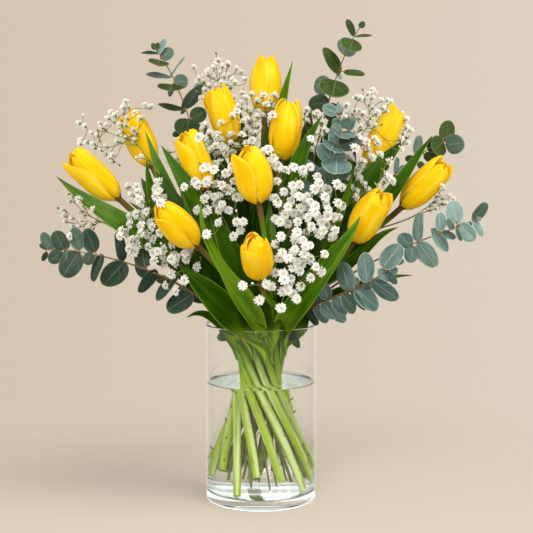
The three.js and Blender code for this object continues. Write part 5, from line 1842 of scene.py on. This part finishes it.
@dataclass
class Spray:
    """A spray of baby's breath: a thin stem that forks again and again, and florets at the ends."""

    spec: SpraySpec
    index: int
    shapes: list[FloretShape]
    first_seed: int = 900
    neck: float = 50.0
    #: Least distance between two florets, in their radii.
    apart: float = 1.55
    #: How often, and by how much each time, a floret that would be hidden moves to the front.
    depths: int = 48
    depth_step: float = 1.4
    #: Spread of the florets behind and beside, to the reach, and how often each may be tried.
    spread: float = 0.46
    tries: int = 60
    #: Heads further back than this spread to the front as well.
    hidden_y: float = 60.0
    #: How dear it is to turn back from a fork, or to stand nearer to it than so far.
    turning: float = 1.6
    crowding: float = 30.0
    crowded: float = 7.0
    #: Share of the buds that are green.
    green_buds: float = 0.45
    #: Radius of a twig where it leaves the stem and at its floret.
    thick: float = 0.7
    thin: float = 0.36
    #: Radius and height of a bud.
    bud_profile: Table = ((0.0, -0.2), (0.8, 0.2), (1.25, 1.2), (1.1, 2.2), (0.5, 2.9), (0.0, 3.0))
    hub: Array = field(init=False)
    outward: Array = field(init=False)
    path: StemPath = field(init=False)

    def __post_init__(self) -> None:
        """Lays the stem to the hub, short of the head's middle."""
        head = vec(*self.spec.head)
        self.outward = unit(head - vec(0, 0, WAIST_Z + 90))
        self.hub = head - self.outward * self.spec.reach
        foot, waist, up = spiral(Strand.SPRAY, self.spec.slot, 3 + (self.index * 11) % 26)
        bend = Cubic(waist, waist + up * self.spec.rise, self.hub - self.outward * self.neck, self.hub)
        self.path = StemPath(foot, bend)

    def fits(self, spot: Array, taken: list[Array], trees: list[BVHTree]) -> bool:
        """Whether a floret there keeps clear of other florets, leaves and blooms.

        Args:
            spot: Its middle.
            taken: Florets in place.
            trees: Leaves and blooms.

        Returns:
            True where it does.
        """
        if any(np.linalg.norm(spot - other) < self.spec.size * self.apart for other in taken):
            return False
        return not any(tree.find_nearest(Vector(spot), self.spec.size)[0] for tree in trees)

    def shows(self, spot: Array, trees: list[BVHTree]) -> bool:
        """Whether no leaf or bloom stands between a place and the front."""
        way = Vector(unit(np.array(EYE) - spot))
        return not any(tree.ray_cast(Vector(spot), way, 400.0)[0] for tree in trees)

    def places(self, rng: Random, trees: list[BVHTree], taken: list[Array]) -> list[Array]:
        """Where the florets go.

        A floret that shows at the front takes the first depth, from the head's own forwards, at which
        nothing touches or hides it. The others spread behind and beside the head.

        Args:
            rng: Source of their spread.
            trees: Leaves and blooms.
            taken: Florets in place, to which the new ones are added.

        Returns:
            The places, the nearest to the hub first.
        """
        spec, head, front = self.spec, vec(*self.spec.head), np.array(EYE)
        before = len(taken)
        for x, z in spec.seen:
            flat = vec(x, head[1], z)
            for step in range(self.depths):
                depth = rng.normal(0, 0.3) * spec.reach - self.depth_step * step
                spot = front + (flat - front) * (1 + depth / (head[1] - front[1]))
                if self.fits(spot, taken, trees) and self.shows(spot, trees):
                    taken.append(spot)
                    break
        wanted = len(taken) + spec.others
        for _ in range(spec.others * self.tries):
            if len(taken) >= wanted:
                break
            away = rng.normal(0, self.spread, 3)
            away[1] = away[1] if head[1] > self.hidden_y else abs(away[1]) + 0.25
            spot = head + away * spec.reach * vec(1.1, 1, 1.1)
            if np.linalg.norm(away) < 1.3 and self.fits(spot, taken, trees):
                taken.append(spot)
        return sorted(taken[before:], key=lambda p: float(np.linalg.norm(p - self.hub)))

    def build(self, petal: Material, twig: Material, trees: list[BVHTree], taken: list[Array]) -> None:
        """Makes the spray.

        Args:
            petal: Material of the florets.
            twig: Material of stem and twigs.
            trees: What the florets keep clear of.
            taken: Florets of the sprays before, to which this one adds its own.
        """
        rng = np.random.default_rng(self.first_seed + self.index)
        draft = Draft()
        line, bend, size = self.path.line(10, 40), self.path.bend, self.spec.size
        draft.stalk(line, np.linspace(Strand.SPRAY.radius, 0.75, len(line)), 7, 0.5)
        forks = [(bend.at(t), bend.heading(t), self.thick) for t in np.linspace(0.72, 1.0, 10)]
        for spot in self.places(rng, trees, taken):
            base, heading, thick = min(forks, key=lambda fork: self.cost(fork, spot))
            far = float(np.linalg.norm(spot - base))
            axis = self.facing(spot, unit(spot - base), rng)
            foot = spot - axis * size * 0.66
            way = Cubic(base, base + (heading * 0.35 - UP * 0.06) * far, foot - axis * far * 0.22, foot)
            draft.stalk(way.at(np.linspace(0, 1, 7)), np.linspace(thick, self.thin, 7), 5, rng.random())
            forks += [(way.at(t), way.heading(t), blend(thick, self.thin, t)) for t in (0.35, 0.6, 0.8)]
            self.floret(draft, spot, axis, size * rng.uniform(0.88, 1.08), rng)
        for base, heading, _ in forks[12::7]:
            self.bud(draft, base, unit(heading + rng.normal(0, 0.5, 3) + 0.4 * self.outward), rng)
        draft.piece(self.spec.name + "_spray", [petal, twig], self.spec.name, 80.0)

    def cost(self, fork: tuple[Array, Array, float], spot: Array) -> float:
        """How far a floret is from a fork, with turning back made dear.

        Args:
            fork: Place, direction and radius of the twig there.
            spot: Middle of the floret.

        Returns:
            The distance, with what is added to it.
        """
        way = spot - fork[0]
        far = float(np.linalg.norm(way)) + 1e-6
        bend = float(np.dot(way / far, fork[1]))
        return far * (1.0 + self.turning * (1.0 - bend)) + (self.crowding if far < self.crowded else 0.0)

    @staticmethod
    def facing(spot: Array, way: Array, rng: Random) -> Array:
        """The way a floret looks: out of the bunch, the lower ones more to their own side.

        Args:
            spot: Its middle.
            way: The way that its twig comes.
            rng: Source of its own variation.

        Returns:
            The direction.
        """
        out = unit(spot - vec(0, 10, 235))
        level = out * vec(1, 1, 0) * float(1.2 - 0.55 * smooth(340, 450, spot[2]))
        return unit(out + 0.9 * level + 0.2 * way + rng.normal(0, 0.22, 3))

    def bud(self, draft: Draft, base: Array, axis: Array, rng: Random) -> None:
        """Adds a closed floret on a short twig.

        Args:
            draft: The piece that it belongs to.
            base: Where the twig starts.
            axis: The way that it goes.
            rng: Source of its own variation.
        """
        end = base + axis * rng.uniform(7, 12)
        draft.stalk(np.array([base, blend(base, end, 0.5), end]), (self.thin, 0.32, 0.3), 5, 0.3)
        points, faces = lathe(self.bud_profile, 8)
        along = np.clip(points[:, 2] / 3, 0, 1) * 0.9
        grain = np.stack([along * 0, along, along * 0 + rng.random()], axis=-1)
        draft.add(points @ frame_of(axis).T + end, faces, grain, int(rng.random() < self.green_buds))

    def floret(self, draft: Draft, spot: Array, axis: Array, radius: float, rng: Random) -> None:
        """Adds one floret to the draft.

        Args:
            draft: The piece that it belongs to.
            spot: Its middle.
            axis: The way it faces.
            radius: Its radius.
            rng: Source of its own variation.
        """
        shape = self.shapes[rng.integers(len(self.shapes))]
        turn = (frame_of(axis) @ np.array(Matrix.Rotation(rng.uniform(0, 6.28), 3, "Z"))).T * radius
        own = rng.random()
        across, along = np.meshgrid(np.linspace(-1, 1, 5), shape.along)
        grain = np.stack([across, along, np.full(across.shape, own)], axis=-1).reshape(-1, 3)
        for points in shape.petals:
            draft.add(points @ turn + spot, grid_faces(5, 5), grain)
        for (points, faces), height, finish in ((shape.heart, -1.0, 0), (shape.cup, 0.1, 1)):
            draft.add(points @ turn + spot, faces, (0.0, height, own), finish)


@dataclass
class Studio:
    """Plain pale paper, a soft key light from the right, a faint fill and the camera."""

    down: float = 6.37
    lens: float = 93.9
    #: Name, place and side in metres, power in watts and colour of each lamp.
    lamps: tuple[tuple[str, Point, float, float, Colour], ...] = (
        ("key", (2.6, -1.7, 3.8), 2.1, 138.0, (1.0, 0.98, 0.95)),
        ("fill", (-0.5, -2.3, 1.3), 1.9, 62.0, (1.0, 0.98, 0.96)),
    )
    aim: Point = (0.0, 0.0, 0.25)
    #: Colour and strength of the soft light from all round.
    cast: tuple[Colour, float] = ((1.0, 0.96, 0.91), 0.66)
    #: What a kind of ray meets all round: the axis along which it changes, its strength, and its colours
    #: from the back of that axis (-1) to the front (1).
    backdrops: tuple[tuple[str, int, float, tuple[tuple[float, Colour], ...]], ...] = (
        ("", 0, 1.0, ((-0.2, linear(214, 197, 176)), (0.2, linear(223, 209, 192)))),
        (
            "Is Transmission Ray", 2, 2.0,
            (
                (0.04, (0.38, 0.32, 0.26)), (0.1, (0.86, 0.87, 0.84)), (0.24, (0.86, 0.87, 0.84)),
                (0.34, (0.44, 0.47, 0.47)), (0.5, (0.7, 0.72, 0.72)), (0.7, (0.08, 0.09, 0.1)),
            ),
        ),
        (
            "Is Reflection Ray", 1, 1.0,
            ((0.1, (0.07, 0.07, 0.07)), (0.62, (0.22, 0.24, 0.24)), (0.93, (0.98, 0.98, 0.94))),
        ),
    )

    def stand(self, name: str, data: Any, place: Point) -> bpy.types.Object:
        """Links a new object to the scene.

        Args:
            name: Its name.
            data: Its camera or lamp.
            place: Where it stands, in metres.

        Returns:
            The object.
        """
        made = bpy.data.objects.new(name, data)
        made.location = place
        bpy.context.scene.collection.objects.link(made)
        return made

    def camera(self) -> None:
        """Puts the camera where the bunch is seen from."""
        data = bpy.data.cameras.new("camera")
        data.lens, data.sensor_width = self.lens, 36.0
        data.clip_start, data.clip_end = 0.05, 50.0
        made = self.stand("camera", data, Vector(EYE) * MM)
        made.rotation_euler = (math.radians(90 - self.down), 0.0, 0.0)
        bpy.context.scene.camera = made

    def light(self) -> None:
        """Adds the square soft lamps, which look at the bunch."""
        for name, place, size, power, colour in self.lamps:
            data = bpy.data.lights.new(name, "AREA")
            data.size, data.energy, data.color = size, power, colour
            made = self.stand(name, data, place)
            made.rotation_euler = (Vector(self.aim) - Vector(place)).to_track_quat("-Z", "Y").to_euler()

    def floor(self) -> None:
        """Lays the paper."""
        draft = Draft()
        points, faces = lathe([(1800.0, 0.0), (900.0, 0.0), (400.0, 0.0), (0.0, 0.0)], 96)
        draft.add(points, faces, points)
        draft.piece("studio_floor", [FloorFinish().build()])

    def world(self) -> None:
        """Sets the backdrop's colour, what clear things and gloss show of it, and the soft light."""
        world = bpy.data.worlds.new("studio")
        bpy.context.scene.world = world
        nodes = Nodes(world, "OutputWorld")
        ways = nodes.split(nodes.node("TexCoord", {}, {}, "Generated"))
        rays = nodes.node("LightPath")
        shown = None
        for ray, axis, strength, stops in self.backdrops:
            share = nodes.node("MapRange", {}, {"Value": ways[axis], "From Min": -1.0})
            colour = nodes.ramp(share, *((reach * 0.5 + 0.5, colour) for reach, colour in stops))
            backdrop = nodes.node("Background", {}, {"Color": colour, "Strength": strength})
            shown = nodes.either(rays.also(ray), shown, backdrop) if ray else backdrop
        colour, strength = self.cast
        cast = nodes.node("Background", {}, {"Color": colour, "Strength": strength})
        nodes.done(nodes.either(rays.also("Is Diffuse Ray"), shown, cast))

    def build(self) -> None:
        """Sets the whole studio."""
        self.camera()
        self.world()
        self.floor()
        self.light()
        bpy.context.scene.view_settings.view_transform = "Standard"


def main() -> None:
    """Builds the bunch from the vase upwards."""
    logging.basicConfig(level=logging.INFO, format="%(message)s")
    petal, stem = PetalFinish().build(), StemFinish().build()
    # A darker copy of the leaf finish for the leaves inside the bunch: painted shade.
    inside = BladeFinish(
        "tulip_blade_painted_shade", linear(10, 28, 0), linear(30, 62, 2), linear(70, 108, 12), linear(60, 98, 16)
    )
    blades = [BladeFinish().build(), inside.build()]
    gum = {tone: GumLeafFinish(tone).build() for tone in Tone}
    bark, floret, twig = BarkFinish().build(), FloretFinish().build(), TwigFinish().build()
    vase = Vase()
    vase.build()
    stems = [TulipStem(spec, index) for index, spec in enumerate(TULIPS)]
    Water(vase, [blend(made.path.foot, made.path.bend.a, 1.03) for made in stems]).build()
    solid = [Bloom(spec, 10 + index).build(petal, stem) for index, spec in enumerate(TULIPS)]
    solid += [made.build(stem, blades) for made in stems]
    solid += [Branch(spec, index).build(gum, bark) for index, spec in enumerate(BRANCHES)]
    shapes = [FloretShape(seed) for seed in range(6)]
    taken: list[Array] = []
    for index, spec in enumerate(SPRAYS):
        Spray(spec, index, shapes).build(floret, twig, solid, taken)
    Studio().build()


if __name__ == "__main__":
    main()
